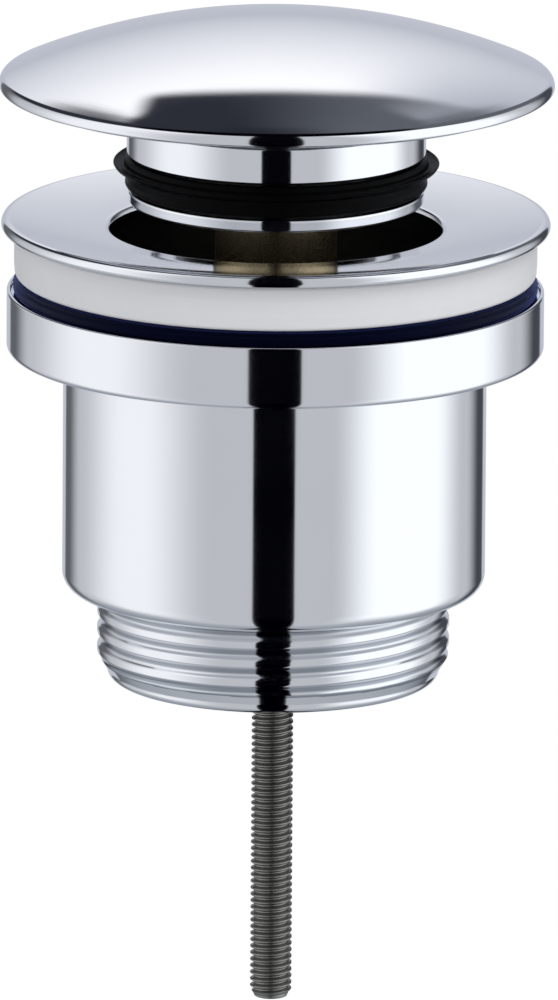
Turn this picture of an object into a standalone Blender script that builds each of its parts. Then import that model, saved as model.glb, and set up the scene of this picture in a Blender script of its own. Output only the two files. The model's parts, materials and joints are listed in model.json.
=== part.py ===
"""A pop-up basin waste of the push-open kind, held in the basin by one long centre bolt.

The flange is dished and drops into the basin's hole. A threaded tail with a wide collar is drawn up under the
basin by a bolt that is turned from above. The plug rides on a sprung cartridge: a push closes it, and the next
push opens it. Z is the axis of the waste, and Z = 0 is the plane where the flange rests on its gasket.
"""

from math import asin, cos, pi, radians, sin, sqrt, tan

import bmesh
import bpy
from mathutils import Matrix, Vector

MM = 0.001

# Clearances
GAP = 0.3 * MM  # between pieces that rest on or screw into each other
RUNNING = 0.2 * MM  # between pieces that turn or slide on each other
END_CLEARANCE = 0.4 * MM  # left at the end of the plug's stroke

# Basin flange and what seals it
THROAT_R = 19.65 * MM
SPIGOT_WALL = 2.15 * MM
FLANGE_WIDTH = 12.95 * MM  # from the hole to the rim
FLANGE_RIM = 1.5 * MM  # thickness of the rim
FLANGE_DISH = 1.3 * MM  # fall of the top from the rim to the hole
FLANGE_CROWN = 1.3 * MM  # width of the rounded crown inside the rim
FLANGE_SAG = 0.25 * MM  # hollow of the dished top below a straight cone
GASKET_SETBACK = 1.55 * MM  # from the rim of the flange in to the gasket
GASKET_THICKNESS = 5.3 * MM
SOFT_EDGE = 0.5 * MM  # rounding of the soft rings

# Spiders, the same in the flange and in the tail
ARMS = 4
ARM_WIDTH = 3.2 * MM
WEB = 3.5 * MM  # height of the arms
WINDOW_LEDGE = 0.4 * MM  # left round a window, at the hub and at the wall

# Centre bolt
BOLT_THREAD = 5.0 * MM
BOLT_PITCH = 0.8 * MM
BOLT_HEAD_R = 4.25 * MM
BOLT_HEAD_HEIGHT = 3.2 * MM
BOLT_SLOT_WIDTH = 1.3 * MM
BOLT_SLOT_DEPTH = 1.5 * MM
WASHER_R = 4.6 * MM
WASHER_THICKNESS = 0.8 * MM
CLAMP_RANGE = 40.0 * MM  # how far the tail can be screwed down
BOLT_SPARE = 6.45 * MM  # bolt left below the tail's hub at the end of that

# Hub of the flange
HUB_FLOOR = 5.3 * MM  # under the bolt's head
HEAD_ROOM = 0.75 * MM  # round the bolt's head
HUB_WALL = 2.0 * MM

# Cartridge, from its spring outwards
SPRING_R = 2.3 * MM
WIRE_R = 0.4 * MM
SPRING_TURNS = 11
SPRING_ROOM = 0.4 * MM  # between the spring and what it works in or on
STEM_WALL = 1.0 * MM
STEM_SHOULDER = 0.5 * MM  # carries the latch ring
STEM_FLOOR = 0.6 * MM  # between the hexagon and the spring's seat
STEM_TENON = 3.8 * MM  # screwed into the hub
STEM_NUT_HEIGHT = 3.0 * MM
STEM_NUT_LAND = 0.5 * MM  # by which its flats stand out past the hub
STEM_WASHER = 0.7 * MM  # thickness
STEM_TIP = 0.45 * MM  # above the clip's groove
LATCH_WALL = 0.8 * MM
LATCH_HEIGHT = 2.8 * MM
LUGS = 4
LUG_WIDTH = 2.4 * MM
LUG_SLOPE = 0.6 * MM
RIB_DEPTH = 0.95 * MM
RIB_WIDTH = 2.8 * MM
RIB_HEIGHT = 6.0 * MM
RIB_SLOPE = 1.1 * MM
CLIP_THICKNESS = 0.5 * MM
CLIP_GROOVE = 0.5 * MM  # depth of the groove it snaps into
CLIP_BAND = 1.0 * MM  # width of the clip's band
CLIP_MOUTH = radians(70)
STOP_RING_HEIGHT = 1.2 * MM
STOP_RING_SEAT = 0.35 * MM  # step in the sleeve's mouth that holds it
SLEEVE_WALL = 1.0 * MM
SLEEVE_HEM = 0.2 * MM  # sleeve below the stop ring
STROKE = 10.0 * MM

# Head of the cartridge
CAP_PLATE = 1.4 * MM
CAP_TENON = 1.8 * MM
STUD_THREAD = 8.0 * MM
STUD_TIP = 1.5 * MM  # stud above the plug's plate
GUIDE_PIN = 7.0 * MM
LOCK_NUT_HEIGHT = 1.5 * MM
LOCK_NUT_FLATS = 13.0 * MM

# Plug, from its lower end up
PLUG_LIFT = 3.0 * MM  # of its lower end above the flange's hole, when open
RETAINER_HEIGHT = 1.6 * MM
PLUG_SEAL_HEIGHT = 3.7 * MM
LIP_OVERHANG = 1.6 * MM  # of the seal's lip past the neck
LIP_THICKNESS = 0.5 * MM
LIP_RISE = 0.5 * MM
LIP_HEIGHT = 2.0 * MM  # of the lip's root above the seal's lower face
SEAL_SWELL = 0.25 * MM  # of the seal's body past the neck
RETAINER_SETBACK = 0.15 * MM
SEAL_GROOVE = 3.25 * MM  # depth of the plug's groove for the seal
CORE_WALL = 2.5 * MM
NECK_HEIGHT = 4.3 * MM
DISH_RISE = 3.6 * MM  # of the underside from the neck to the rim
PLATE = 2.2 * MM  # of the plug above its cavity
PLATE_RISE = 1.1 * MM  # of that plate above the neck's top
DOME_OVERHANG = 0.35 * MM  # of the dome past the flange
DOME_RISE = 7.1 * MM
DOME_EDGE = 1.2 * MM  # height of the dome's edge
DOME_WALL = 0.8 * MM

# Tail, from its collar down
SEAL_THICKNESS = 1.8 * MM
COLLAR_OVERHANG = 0.85 * MM  # of the collar past the gasket
COLLAR_HEIGHT = 7.5 * MM
COLLAR_LIP = 0.45 * MM  # wall that keeps the seal in place
COLLAR_LIP_HEIGHT = 0.6 * MM
BARREL_ROOM = 0.85 * MM  # round the flange's spigot
BARREL_WALL = 2.5 * MM
BARREL_EDGE = 2.0 * MM
HUB_CLEARANCE = 3.0 * MM  # between the two hubs, when the tail is fully up
TAIL_HUB_HEIGHT = 8.0 * MM
TAIL_HUB_DROP = 4.15 * MM  # from the top of the hub to the barrel's lower end
TAIL_THREAD = 41.91 * MM
TAIL_PITCH = 2.309 * MM
TAIL_WALL = 3.45 * MM
TAIL_LENGTH = 11.0 * MM
TAIL_RELIEF = 1.0 * MM  # turned-down run above the thread
TAIL_LEAD = 2.5 * MM  # height of the cone at the tail's lower end
TAIL_LEAD_DEPTH = 2.3 * MM
FUNNEL_DEPTH = 2.0 * MM
BUSH_WALL = 2.1 * MM
BUSH_FLANGE = 1.4 * MM
BUSH_FLANGE_HEIGHT = 1.2 * MM
TAIL_HUB_WALL = 1.7 * MM

# Facets of the turned pieces
BIG_STEPS = 36
SMALL_STEPS = 24
FINE_FILLET = 0.6 * MM  # smaller ones are plain chamfers

# Radii that follow
PITCH_LINE = 0.6495  # a thread's pitch diameter is its size less this times its pitch
BOLT_R = (BOLT_THREAD - PITCH_LINE * BOLT_PITCH) / 2
SPIGOT_R = THROAT_R + SPIGOT_WALL
FLANGE_R = THROAT_R + FLANGE_WIDTH
GASKET_R = FLANGE_R - GASKET_SETBACK
COLLAR_R = GASKET_R + COLLAR_OVERHANG
DOME_R = FLANGE_R + DOME_OVERHANG
SPRING_BORE_R = SPRING_R + WIRE_R + SPRING_ROOM
JOURNAL_R = SPRING_BORE_R + STEM_WALL
LATCH_BORE_R = JOURNAL_R + RUNNING
POST_R = JOURNAL_R + STEM_SHOULDER
LATCH_R = LATCH_BORE_R + LATCH_WALL
RIB_R = LATCH_R + RUNNING
SLEEVE_BORE_R = RIB_R + RIB_DEPTH
SLEEVE_R = SLEEVE_BORE_R + SLEEVE_WALL
HUB_BORE_R = BOLT_HEAD_R + HEAD_ROOM
HUB_R = HUB_BORE_R + HUB_WALL
STUD_R = STUD_THREAD / 2
LIP_R = THROAT_R - GAP
NECK_R = LIP_R - LIP_OVERHANG
CORE_R = NECK_R - SEAL_GROOVE
CAVITY_R = CORE_R - CORE_WALL
DISH_R = DOME_R - DOME_WALL - GAP
BARREL_BORE_R = SPIGOT_R + BARREL_ROOM
BARREL_R = BARREL_BORE_R + BARREL_WALL
TAIL_R = TAIL_THREAD / 2
TAIL_BORE_R = TAIL_R - TAIL_WALL
BUSH_BORE_R = BOLT_R + GAP
BUSH_R = BUSH_BORE_R + BUSH_WALL
TAIL_HUB_R = BUSH_R + GAP + TAIL_HUB_WALL

# Heights of the plug, up from the flange's hole
HOLE_Z = FLANGE_RIM - FLANGE_DISH
PLUG_Z = HOLE_Z + PLUG_LIFT
SEAL_Z = PLUG_Z + RETAINER_HEIGHT + GAP
NECK_Z = SEAL_Z + PLUG_SEAL_HEIGHT + GAP
DISH_Z = NECK_Z + NECK_HEIGHT
DOME_Z = DISH_Z + DISH_RISE
PLATE_Z = DISH_Z + PLATE_RISE
DOME_BALL_R = (DOME_R**2 + DOME_RISE**2) / (2 * DOME_RISE)
DOME_BALL_Z = DOME_Z + DOME_EDGE + DOME_RISE - DOME_BALL_R

# Heights of the cartridge, down from the plug's plate
LOCK_NUT_Z = PLATE_Z - GAP - LOCK_NUT_HEIGHT
CAP_Z = LOCK_NUT_Z - GAP - CAP_PLATE
SLEEVE_TOP = CAP_Z - GAP
CAP_TENON_Z = SLEEVE_TOP - CAP_TENON
STEM_TOP = CAP_TENON_Z - STROKE - END_CLEARANCE
CLIP_TOP = STEM_TOP - STEM_TIP - RUNNING
CLIP_Z = CLIP_TOP - CLIP_THICKNESS
LATCH_TOP = CLIP_Z - 2 * RUNNING
LATCH_Z = LATCH_TOP - LATCH_HEIGHT
SHOULDER_Z = LATCH_Z - GAP
RIB_Z = LATCH_TOP + END_CLEARANCE + RUNNING
STOP_TOP = LATCH_Z - GAP
STOP_Z = STOP_TOP - STOP_RING_HEIGHT
SLEEVE_Z = STOP_Z - SLEEVE_HEM
STEM_NUT_TOP = SLEEVE_Z - STROKE - END_CLEARANCE
STEM_NUT_Z = STEM_NUT_TOP - STEM_NUT_HEIGHT
STEM_WASHER_Z = STEM_NUT_Z - GAP - STEM_WASHER
HUB_TOP = STEM_WASHER_Z - GAP
STEM_Z = HUB_TOP - STEM_TENON
SPRING_FLOOR = STEM_NUT_TOP + STEM_FLOOR

# Heights of the bolt and the flange's hub
HEAD_TOP = STEM_Z - 2 * GAP
HEAD_Z = HEAD_TOP - BOLT_HEAD_HEIGHT
WASHER_Z = HEAD_Z - GAP - WASHER_THICKNESS
BOLT_SEAT = WASHER_Z - GAP
SPIGOT_Z = BOLT_SEAT - HUB_FLOOR

# Heights of the tail
GASKET_Z = -GAP - GASKET_THICKNESS
TAIL_SEAL_Z = GASKET_Z - GAP - SEAL_THICKNESS
COLLAR_SEAT = TAIL_SEAL_Z - GAP
COLLAR_TOP = COLLAR_SEAT + COLLAR_LIP_HEIGHT
COLLAR_Z = COLLAR_TOP - COLLAR_HEIGHT
TAIL_HUB_TOP = SPIGOT_Z - HUB_CLEARANCE
TAIL_HUB_Z = TAIL_HUB_TOP - TAIL_HUB_HEIGHT
BARREL_Z = TAIL_HUB_TOP - TAIL_HUB_DROP
TAIL_Z = BARREL_Z - TAIL_LENGTH
BOLT_Z = TAIL_HUB_Z - CLAMP_RANGE - BOLT_SPARE

# Finishes: colour, metallic, roughness
FINISHES = {
    "chrome": ((0.80, 0.81, 0.84), 1.0, 0.07),
    "brass": ((0.66, 0.50, 0.24), 1.0, 0.28),
    "zinc_steel": ((0.42, 0.41, 0.39), 1.0, 0.38),
    "spring_steel": ((0.55, 0.55, 0.54), 1.0, 0.25),
    "white_gasket": ((0.84, 0.85, 0.87), 0.0, 0.42),
    "navy_rubber": ((0.020, 0.026, 0.100), 0.0, 0.45),
    "black_rubber": ((0.012, 0.012, 0.013), 0.0, 0.40),
    "acetal": ((0.78, 0.77, 0.73), 0.0, 0.45),
}


def clear_scene():
    for old in list(bpy.data.objects):
        bpy.data.objects.remove(old)


def new_collection(name):
    made = bpy.data.collections.new(name)
    bpy.context.scene.collection.children.link(made)
    return made


def new_material(name, colour, metallic, roughness):
    material = bpy.data.materials.new(name)
    material.use_nodes = True
    shader = material.node_tree.nodes["Principled BSDF"]
    shader.inputs["Base Color"].default_value = (*colour, 1)
    shader.inputs["Metallic"].default_value = metallic
    shader.inputs["Roughness"].default_value = roughness
    return material


def rounded(corners, closed=True):
    """The outline through corners (r, z, fillet), each turned into an arc of that radius or of what fits."""
    points = []
    count = len(corners)
    for i, (r, z, fillet) in enumerate(corners):
        here = Vector((r, z))
        ends_here = not closed and i in (0, count - 1)
        if fillet == 0 or ends_here:
            points.append(here)
            continue
        back = Vector(corners[i - 1][:2]) - here
        ahead = Vector(corners[(i + 1) % count][:2]) - here
        half = back.angle(ahead) / 2
        reach = min(fillet / tan(half), 0.45 * back.length, 0.45 * ahead.length)
        radius = reach * tan(half)
        middle = here + (back.normalized() + ahead.normalized()).normalized() * radius / sin(half)
        start = here + back.normalized() * reach - middle
        sweep = (here + ahead.normalized() * reach - middle).angle_signed(start)
        steps = 2 if fillet > FINE_FILLET else 1
        for k in range(steps + 1):
            points.append(middle + Matrix.Rotation(sweep * k / steps, 2) @ start)
    return points


def link(name, data, collection):
    made = bpy.data.objects.new(name, data)
    collection.objects.link(made)
    return made


def baked(source):
    """The mesh that an object's modifiers or curve settings make."""
    bpy.context.view_layer.update()
    return bpy.data.meshes.new_from_object(source.evaluated_get(bpy.context.evaluated_depsgraph_get()))


def turned(name, outline, steps=BIG_STEPS, closed=True, collection=None):
    """An outline in X and Z, clockwise as seen with X to the right, swept round the Z axis."""
    mesh = bpy.data.meshes.new(name)
    edges = [(i, i + 1) for i in range(len(outline) - 1)]
    if closed:
        edges.append((len(outline) - 1, 0))
    mesh.from_pydata([(r, 0, z) for r, z in outline], edges, [])
    piece = link(name, mesh, collection or parts)
    screw = piece.modifiers.new("Turned", "SCREW")
    screw.axis = "Z"
    screw.steps = steps
    screw.render_steps = steps
    screw.use_merge_vertices = True
    screw.merge_threshold = 1e-7
    screw.use_smooth_shade = True
    return piece


def slab(name, outline, low, high, collection):
    """A flat outline in X and Y between two heights, as a mesh that a Boolean can use."""
    curve = bpy.data.curves.new(name, "CURVE")
    curve.dimensions = "2D"
    curve.fill_mode = "BOTH"
    curve.extrude = (high - low) / 2
    spline = curve.splines.new("POLY")
    spline.points.add(len(outline) - 1)
    for point, (x, y) in zip(spline.points, outline):
        point.co = (x, y, 0, 1)
    spline.use_cyclic_u = True
    drawn = link(name + "_outline", curve, collection)
    mesh = baked(drawn)
    bpy.data.objects.remove(drawn)
    edit = bmesh.new()
    edit.from_mesh(mesh)
    bmesh.ops.remove_doubles(edit, verts=edit.verts, dist=1e-7)
    bmesh.ops.translate(edit, verts=edit.verts, vec=(0, 0, (high + low) / 2))
    bmesh.ops.recalc_face_normals(edit, faces=edit.faces)
    edit.to_mesh(mesh)
    edit.free()
    return link(name, mesh, collection)


def prism(name, across_flats, low, high, collection):
    """A hexagonal bar."""
    edit = bmesh.new()
    corner = across_flats / sqrt(3)
    bmesh.ops.create_cone(
        edit, cap_ends=True, segments=6, radius1=corner, radius2=corner, depth=high - low
    )
    bmesh.ops.translate(edit, verts=edit.verts, vec=(0, 0, (high + low) / 2))
    mesh = bpy.data.meshes.new(name)
    edit.to_mesh(mesh)
    edit.free()
    return link(name, mesh, collection)


def cam_block(name, inner, outer, width, low, high, slopes, angle):
    """A bar along a cylinder's wall, its lower and upper ends sloped as a cam's are, turned about the axis."""
    edit = bmesh.new()
    bmesh.ops.create_cube(edit, size=1)
    size = Vector((outer - inner, width, high - low))
    middle = Vector(((outer + inner) / 2, 0, (high + low) / 2))
    for vert in edit.verts:
        slope = slopes[0] if vert.co.z < 0 else slopes[1]
        lift = slope * (vert.co.y + 0.5)
        vert.co = vert.co * size + middle + Vector((0, 0, lift))
    bmesh.ops.rotate(edit, verts=edit.verts, matrix=Matrix.Rotation(angle, 3, "Z"))
    mesh = bpy.data.meshes.new(name)
    edit.to_mesh(mesh)
    edit.free()
    return link(name, mesh, cutters)


def join_or_cut(piece, helper, operation):
    boolean = piece.modifiers.new(helper.name, "BOOLEAN")
    boolean.operation = operation
    boolean.object = helper
    helper.hide_render = True
    helper.display_type = "WIRE"


def finish(piece, finish_name, body):
    """Fixes a piece's shape, shades its round faces smooth, and gives it its finish and its moving group."""
    mesh = baked(piece)
    piece.modifiers.clear()
    piece.data = mesh
    mesh.shade_smooth()
    mesh.set_sharp_from_angle(angle=radians(35))
    mesh.materials.clear()
    mesh.materials.append(materials[finish_name])
    piece.parent = body


def spider_window(inner, outer, index):
    """The outline of the opening between two arms of a spider, whose arms keep one width."""
    pitch = 2 * pi / ARMS
    start = index * pitch
    outline = []
    for radius, turn in ((outer, 1), (inner, -1)):
        edge = asin(ARM_WIDTH / 2 / radius)
        steps = 5
        for k in range(steps + 1):
            share = k / steps if turn > 0 else 1 - k / steps
            angle = start + edge + (pitch - 2 * edge) * share
            outline.append((radius * cos(angle), radius * sin(angle)))
    return outline


def cut_windows(piece, inner, outer, low, high):
    """Opens a web between its hub and its wall, all but the arms."""
    for index in range(ARMS):
        outline = spider_window(inner + WINDOW_LEDGE, outer - WINDOW_LEDGE, index)
        name = f"{piece.name}_window_{index}"
        join_or_cut(piece, slab(name, outline, low - 1 * MM, high + 1 * MM, cutters), "DIFFERENCE")


def flange_top():
    """The flange's top from the hole to the crown: a cone that sags a little in its middle."""
    inner = THROAT_R
    outer = FLANGE_R - FLANGE_CROWN
    steps = 4
    points = []
    for k in range(1, steps):
        t = k / steps
        z = HOLE_Z + (FLANGE_RIM - HOLE_Z) * t - 4 * FLANGE_SAG * t * (1 - t)
        points.append((inner + (outer - inner) * t, z, 0))
    return [(inner, HOLE_Z, 0.8 * MM), *points, (outer, FLANGE_RIM, 0.6 * MM)]


def make_basin_flange():
    """Dished flange, spigot, spider and hub, turned in one piece; the windows are cut through the spider."""
    outline = [
        *flange_top(),
        (FLANGE_R, FLANGE_RIM, 0.7 * MM),
        (FLANGE_R, 0, 0.3 * MM),
        (SPIGOT_R, 0, 0),
        (SPIGOT_R, SPIGOT_Z, 0.5 * MM),
        (BOLT_R + GAP, SPIGOT_Z, 0),
        (BOLT_R + GAP, BOLT_SEAT, 0),
        (HUB_BORE_R, BOLT_SEAT, 0),
        (HUB_BORE_R, HUB_TOP, 0),
        (HUB_R, HUB_TOP, 0.4 * MM),
        (HUB_R, SPIGOT_Z + WEB, 0),
        (THROAT_R, SPIGOT_Z + WEB, 0),
    ]
    flange = turned("basin_flange", rounded(outline))
    cut_windows(flange, HUB_R, THROAT_R, SPIGOT_Z, SPIGOT_Z + WEB)
    finish(flange, "chrome", waste)


def make_ring(name, inner, outer, low, high, edge, finish_name, body, steps=BIG_STEPS):
    """A plain ring with rounded outer corners."""
    outline = [(inner, high, 0), (outer, high, edge), (outer, low, edge), (inner, low, 0)]
    finish(turned(name, rounded(outline), steps), finish_name, body)


def make_cartridge_stem():
    """The fixed post of the cartridge: a tenon in the hub, a hexagon, the post, and the latch ring's journal."""
    groove_r = JOURNAL_R - CLIP_GROOVE
    tenon_r = HUB_BORE_R - GAP
    tenon_top = STEM_NUT_TOP - STEM_NUT_HEIGHT / 2
    outline = [
        (0, SPRING_FLOOR, 0),
        (SPRING_BORE_R, SPRING_FLOOR, 0),
        (SPRING_BORE_R, STEM_TOP, 0),
        (JOURNAL_R, STEM_TOP, 0),
        (JOURNAL_R, CLIP_TOP + RUNNING, 0),
        (groove_r, CLIP_TOP + RUNNING, 0),
        (groove_r, CLIP_Z - RUNNING, 0),
        (JOURNAL_R, CLIP_Z - RUNNING, 0),
        (JOURNAL_R, SHOULDER_Z, 0),
        (POST_R, SHOULDER_Z, 0),
        (POST_R, tenon_top, 0),
        (tenon_r, tenon_top, 0),
        (tenon_r, STEM_Z, 0.5 * MM),
        (0, STEM_Z, 0),
    ]
    stem = turned("cartridge_stem", rounded(outline, closed=False), SMALL_STEPS, closed=False)
    flats = 2 * (HUB_R + STEM_NUT_LAND)
    hexagon = prism("stem_hexagon", flats, STEM_NUT_Z, STEM_NUT_TOP, cutters)
    bevel = hexagon.modifiers.new("Worn corners", "BEVEL")
    bevel.width = 0.4 * MM
    bevel.segments = 1
    join_or_cut(stem, hexagon, "UNION")
    finish(stem, "brass", waste)


def make_latch_clip():
    """The open ring that snaps into the stem's groove and keeps the latch ring on."""
    inner = JOURNAL_R - CLIP_GROOVE + RUNNING
    outer = inner + CLIP_BAND
    steps = 20
    outline = []
    for radius, turn in ((outer, 1), (inner, -1)):
        for k in range(steps + 1):
            share = k / steps if turn > 0 else 1 - k / steps
            angle = CLIP_MOUTH / 2 + (2 * pi - CLIP_MOUTH) * share
            outline.append((radius * cos(angle), radius * sin(angle)))
    finish(slab("latch_clip", outline, CLIP_Z, CLIP_TOP, parts), "spring_steel", waste)


def make_latch_ring():
    """The ring that turns an eighth of a turn at each push; its sloped lugs pass between the sleeve's ribs."""
    outline = [
        (LATCH_BORE_R, LATCH_TOP - LUG_SLOPE, 0),
        (LATCH_R, LATCH_TOP - LUG_SLOPE, 0),
        (LATCH_R, LATCH_Z, 0),
        (LATCH_BORE_R, LATCH_Z, 0),
    ]
    ring = turned("latch_ring", rounded(outline), SMALL_STEPS)
    for index in range(LUGS):
        angle = 2 * pi * (index + 0.5) / LUGS
        reach = sqrt((SLEEVE_BORE_R - RUNNING) ** 2 - (LUG_WIDTH / 2) ** 2)
        lug = cam_block(
            f"lug_{index}",
            LATCH_R - LATCH_WALL / 2,
            reach,
            LUG_WIDTH,
            LATCH_Z + RUNNING,
            LATCH_TOP - LUG_SLOPE - RUNNING,
            (0, LUG_SLOPE),
            angle,
        )
        join_or_cut(ring, lug, "UNION")
    finish(ring, "acetal", latch)


def make_cartridge_sleeve():
    """The brass tube that slides down over the stem, with its four cam ribs and the step for its stop ring."""
    seat_r = SLEEVE_BORE_R + STOP_RING_SEAT
    outline = [
        (SLEEVE_BORE_R, SLEEVE_TOP, 0),
        (SLEEVE_R, SLEEVE_TOP, 0.3 * MM),
        (SLEEVE_R, SLEEVE_Z, 0.3 * MM),
        (seat_r, SLEEVE_Z, 0),
        (seat_r, STOP_TOP + GAP, 0),
        (SLEEVE_BORE_R, STOP_TOP + GAP, 0),
    ]
    sleeve = turned("cartridge_sleeve", rounded(outline), SMALL_STEPS)
    for index in range(LUGS):
        rib = cam_block(
            f"rib_{index}",
            RIB_R,
            SLEEVE_BORE_R + SLEEVE_WALL / 2,
            RIB_WIDTH,
            RIB_Z,
            RIB_Z + RIB_HEIGHT - RIB_SLOPE,
            (RIB_SLOPE, RIB_SLOPE),
            2 * pi * index / LUGS,
        )
        join_or_cut(sleeve, rib, "UNION")
    finish(sleeve, "brass", plug)


def make_cartridge_cap():
    """The sleeve's upper end: guide pin for the spring, tenon, plate and the stud that carries the plug."""
    pin_r = SPRING_R - WIRE_R - SPRING_ROOM
    outline = [
        (0, PLATE_Z + PLATE + STUD_TIP, 0),
        (STUD_R - GAP, PLATE_Z + PLATE + STUD_TIP, 0.6 * MM),
        (STUD_R - GAP, CAP_Z + CAP_PLATE, 0),
        (SLEEVE_R, CAP_Z + CAP_PLATE, 0.3 * MM),
        (SLEEVE_R, CAP_Z, 0.2 * MM),
        (SLEEVE_BORE_R - GAP, CAP_Z, 0),
        (SLEEVE_BORE_R - GAP, CAP_TENON_Z, 0.3 * MM),
        (pin_r, CAP_TENON_Z, 0),
        (pin_r, CAP_TENON_Z - GUIDE_PIN, 0.5 * MM),
        (0, CAP_TENON_Z - GUIDE_PIN, 0),
    ]
    cap = turned("cartridge_cap", rounded(outline, closed=False), SMALL_STEPS, closed=False)
    finish(cap, "brass", plug)


def make_lock_nut():
    """The thin nut that locks the plug on the cartridge's stud."""
    nut = prism("lock_nut", LOCK_NUT_FLATS, LOCK_NUT_Z, LOCK_NUT_Z + LOCK_NUT_HEIGHT, parts)
    outline = [
        (0, LOCK_NUT_Z + LOCK_NUT_HEIGHT + 1 * MM),
        (STUD_R, LOCK_NUT_Z + LOCK_NUT_HEIGHT + 1 * MM),
        (STUD_R, LOCK_NUT_Z - 1 * MM),
        (0, LOCK_NUT_Z - 1 * MM),
    ]
    bore = turned("lock_nut_bore", outline, SMALL_STEPS, closed=False, collection=cutters)
    join_or_cut(nut, bore, "DIFFERENCE")
    finish(nut, "brass", plug)


def make_cartridge_spring():
    """The coil spring in the stem's bore, its end turns closed, pushing the cap up."""
    low = SPRING_FLOOR + GAP + WIRE_R
    high = CAP_TENON_Z - GAP - WIRE_R
    end_pitch = 2.3 * WIRE_R
    open_pitch = (high - low - 2 * end_pitch) / (SPRING_TURNS - 2)
    curve = bpy.data.curves.new("cartridge_spring", "CURVE")
    curve.dimensions = "3D"
    curve.bevel_depth = WIRE_R
    curve.bevel_resolution = 2
    curve.use_fill_caps = True
    per_turn = 10
    count = SPRING_TURNS * per_turn + 1
    spline = curve.splines.new("POLY")
    spline.points.add(count - 1)
    for k, point in enumerate(spline.points):
        turns = k / per_turn
        opened = min(max(turns - 1, 0), SPRING_TURNS - 2)
        z = low + opened * open_pitch + (turns - opened) * end_pitch
        angle = 2 * pi * turns
        point.co = (SPRING_R * cos(angle), SPRING_R * sin(angle), z, 1)
    curve.materials.append(materials["spring_steel"])
    spring = link("cartridge_spring", curve, parts)
    spring.parent = waste


def make_plug_body():
    """The plug under its dome: the dished underside, the neck, the seal's groove and the cavity for the cartridge."""
    inner_ball_r = DOME_BALL_R - DOME_WALL
    edge_z = DOME_BALL_Z + sqrt(inner_ball_r**2 - DISH_R**2) - GAP
    under_z = DISH_Z + DISH_RISE * (DISH_R - NECK_R) / (DOME_R - NECK_R)
    outline = [
        (STUD_R, PLATE_Z + PLATE, 0),
        (NECK_R, PLATE_Z + PLATE, 0),
        (DISH_R, edge_z, 0),
        (DISH_R, under_z, 0),
        (NECK_R, DISH_Z, 0.4 * MM),
        (NECK_R, NECK_Z, 0.3 * MM),
        (CORE_R, NECK_Z, 0),
        (CORE_R, PLUG_Z + GAP, 0.3 * MM),
        (CAVITY_R, PLUG_Z + GAP, 0.3 * MM),
        (CAVITY_R, PLATE_Z, 0.8 * MM),
        (STUD_R, PLATE_Z, 0),
    ]
    finish(turned("plug_body", rounded(outline)), "chrome", plug)


def make_plug_dome():
    """The polished dome, a thin cap spun over the plug's edge."""
    steps = 7
    outer_angle = asin((DOME_R - 1.2 * MM) / DOME_BALL_R)
    inner_ball_r = DOME_BALL_R - DOME_WALL
    wall_r = DOME_R - DOME_WALL
    inner_angle = asin(wall_r / inner_ball_r)
    outline = []
    for k in range(steps + 1):
        angle = outer_angle * k / steps
        outline.append((DOME_BALL_R * sin(angle), DOME_BALL_Z + DOME_BALL_R * cos(angle), 0))
    outline.append((DOME_R, DOME_BALL_Z + sqrt(DOME_BALL_R**2 - DOME_R**2), 0.7 * MM))
    outline.append((DOME_R, DOME_Z, 0.35 * MM))
    outline.append((wall_r, DOME_Z, 0))
    for k in range(steps + 1):
        angle = inner_angle * (1 - k / steps)
        outline.append((inner_ball_r * sin(angle), DOME_BALL_Z + inner_ball_r * cos(angle), 0))
    dome = turned("plug_dome", rounded(outline, closed=False), closed=False)
    finish(dome, "chrome", plug)


def make_plug_seal():
    """The black seal in the plug's groove, with the thin lip that closes the flange's hole."""
    body_r = NECK_R + SEAL_SWELL
    lip_z = SEAL_Z + LIP_HEIGHT
    outline = [
        (CORE_R + GAP, SEAL_Z + PLUG_SEAL_HEIGHT, 0),
        (body_r, SEAL_Z + PLUG_SEAL_HEIGHT, SOFT_EDGE),
        (body_r, lip_z + LIP_THICKNESS, 0),
        (LIP_R, lip_z + LIP_THICKNESS + LIP_RISE, 0.2 * MM),
        (LIP_R, lip_z + LIP_RISE, 0.2 * MM),
        (body_r, lip_z, 0),
        (body_r, SEAL_Z, SOFT_EDGE),
        (CORE_R + GAP, SEAL_Z, 0),
    ]
    finish(turned("plug_seal", rounded(outline)), "black_rubber", plug)


def make_clamp_bolt():
    """The long centre bolt: slotted head in the hub, shank down through the tail."""
    outline = [
        (0, HEAD_TOP, 0),
        (BOLT_HEAD_R, HEAD_TOP, 0.5 * MM),
        (BOLT_HEAD_R, HEAD_Z, 0),
        (BOLT_R, HEAD_Z, 0),
        (BOLT_R, BOLT_Z, 0.7 * MM),
        (0, BOLT_Z, 0),
    ]
    bolt = turned("clamp_bolt", rounded(outline, closed=False), SMALL_STEPS, closed=False)
    reach = BOLT_HEAD_R + 1 * MM
    half = BOLT_SLOT_WIDTH / 2
    slot_outline = [(-reach, -half), (reach, -half), (reach, half), (-reach, half)]
    slot = slab("bolt_slot", slot_outline, HEAD_TOP - BOLT_SLOT_DEPTH, HEAD_TOP + 1 * MM, cutters)
    join_or_cut(bolt, slot, "DIFFERENCE")
    finish(bolt, "zinc_steel", clamp)


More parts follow.
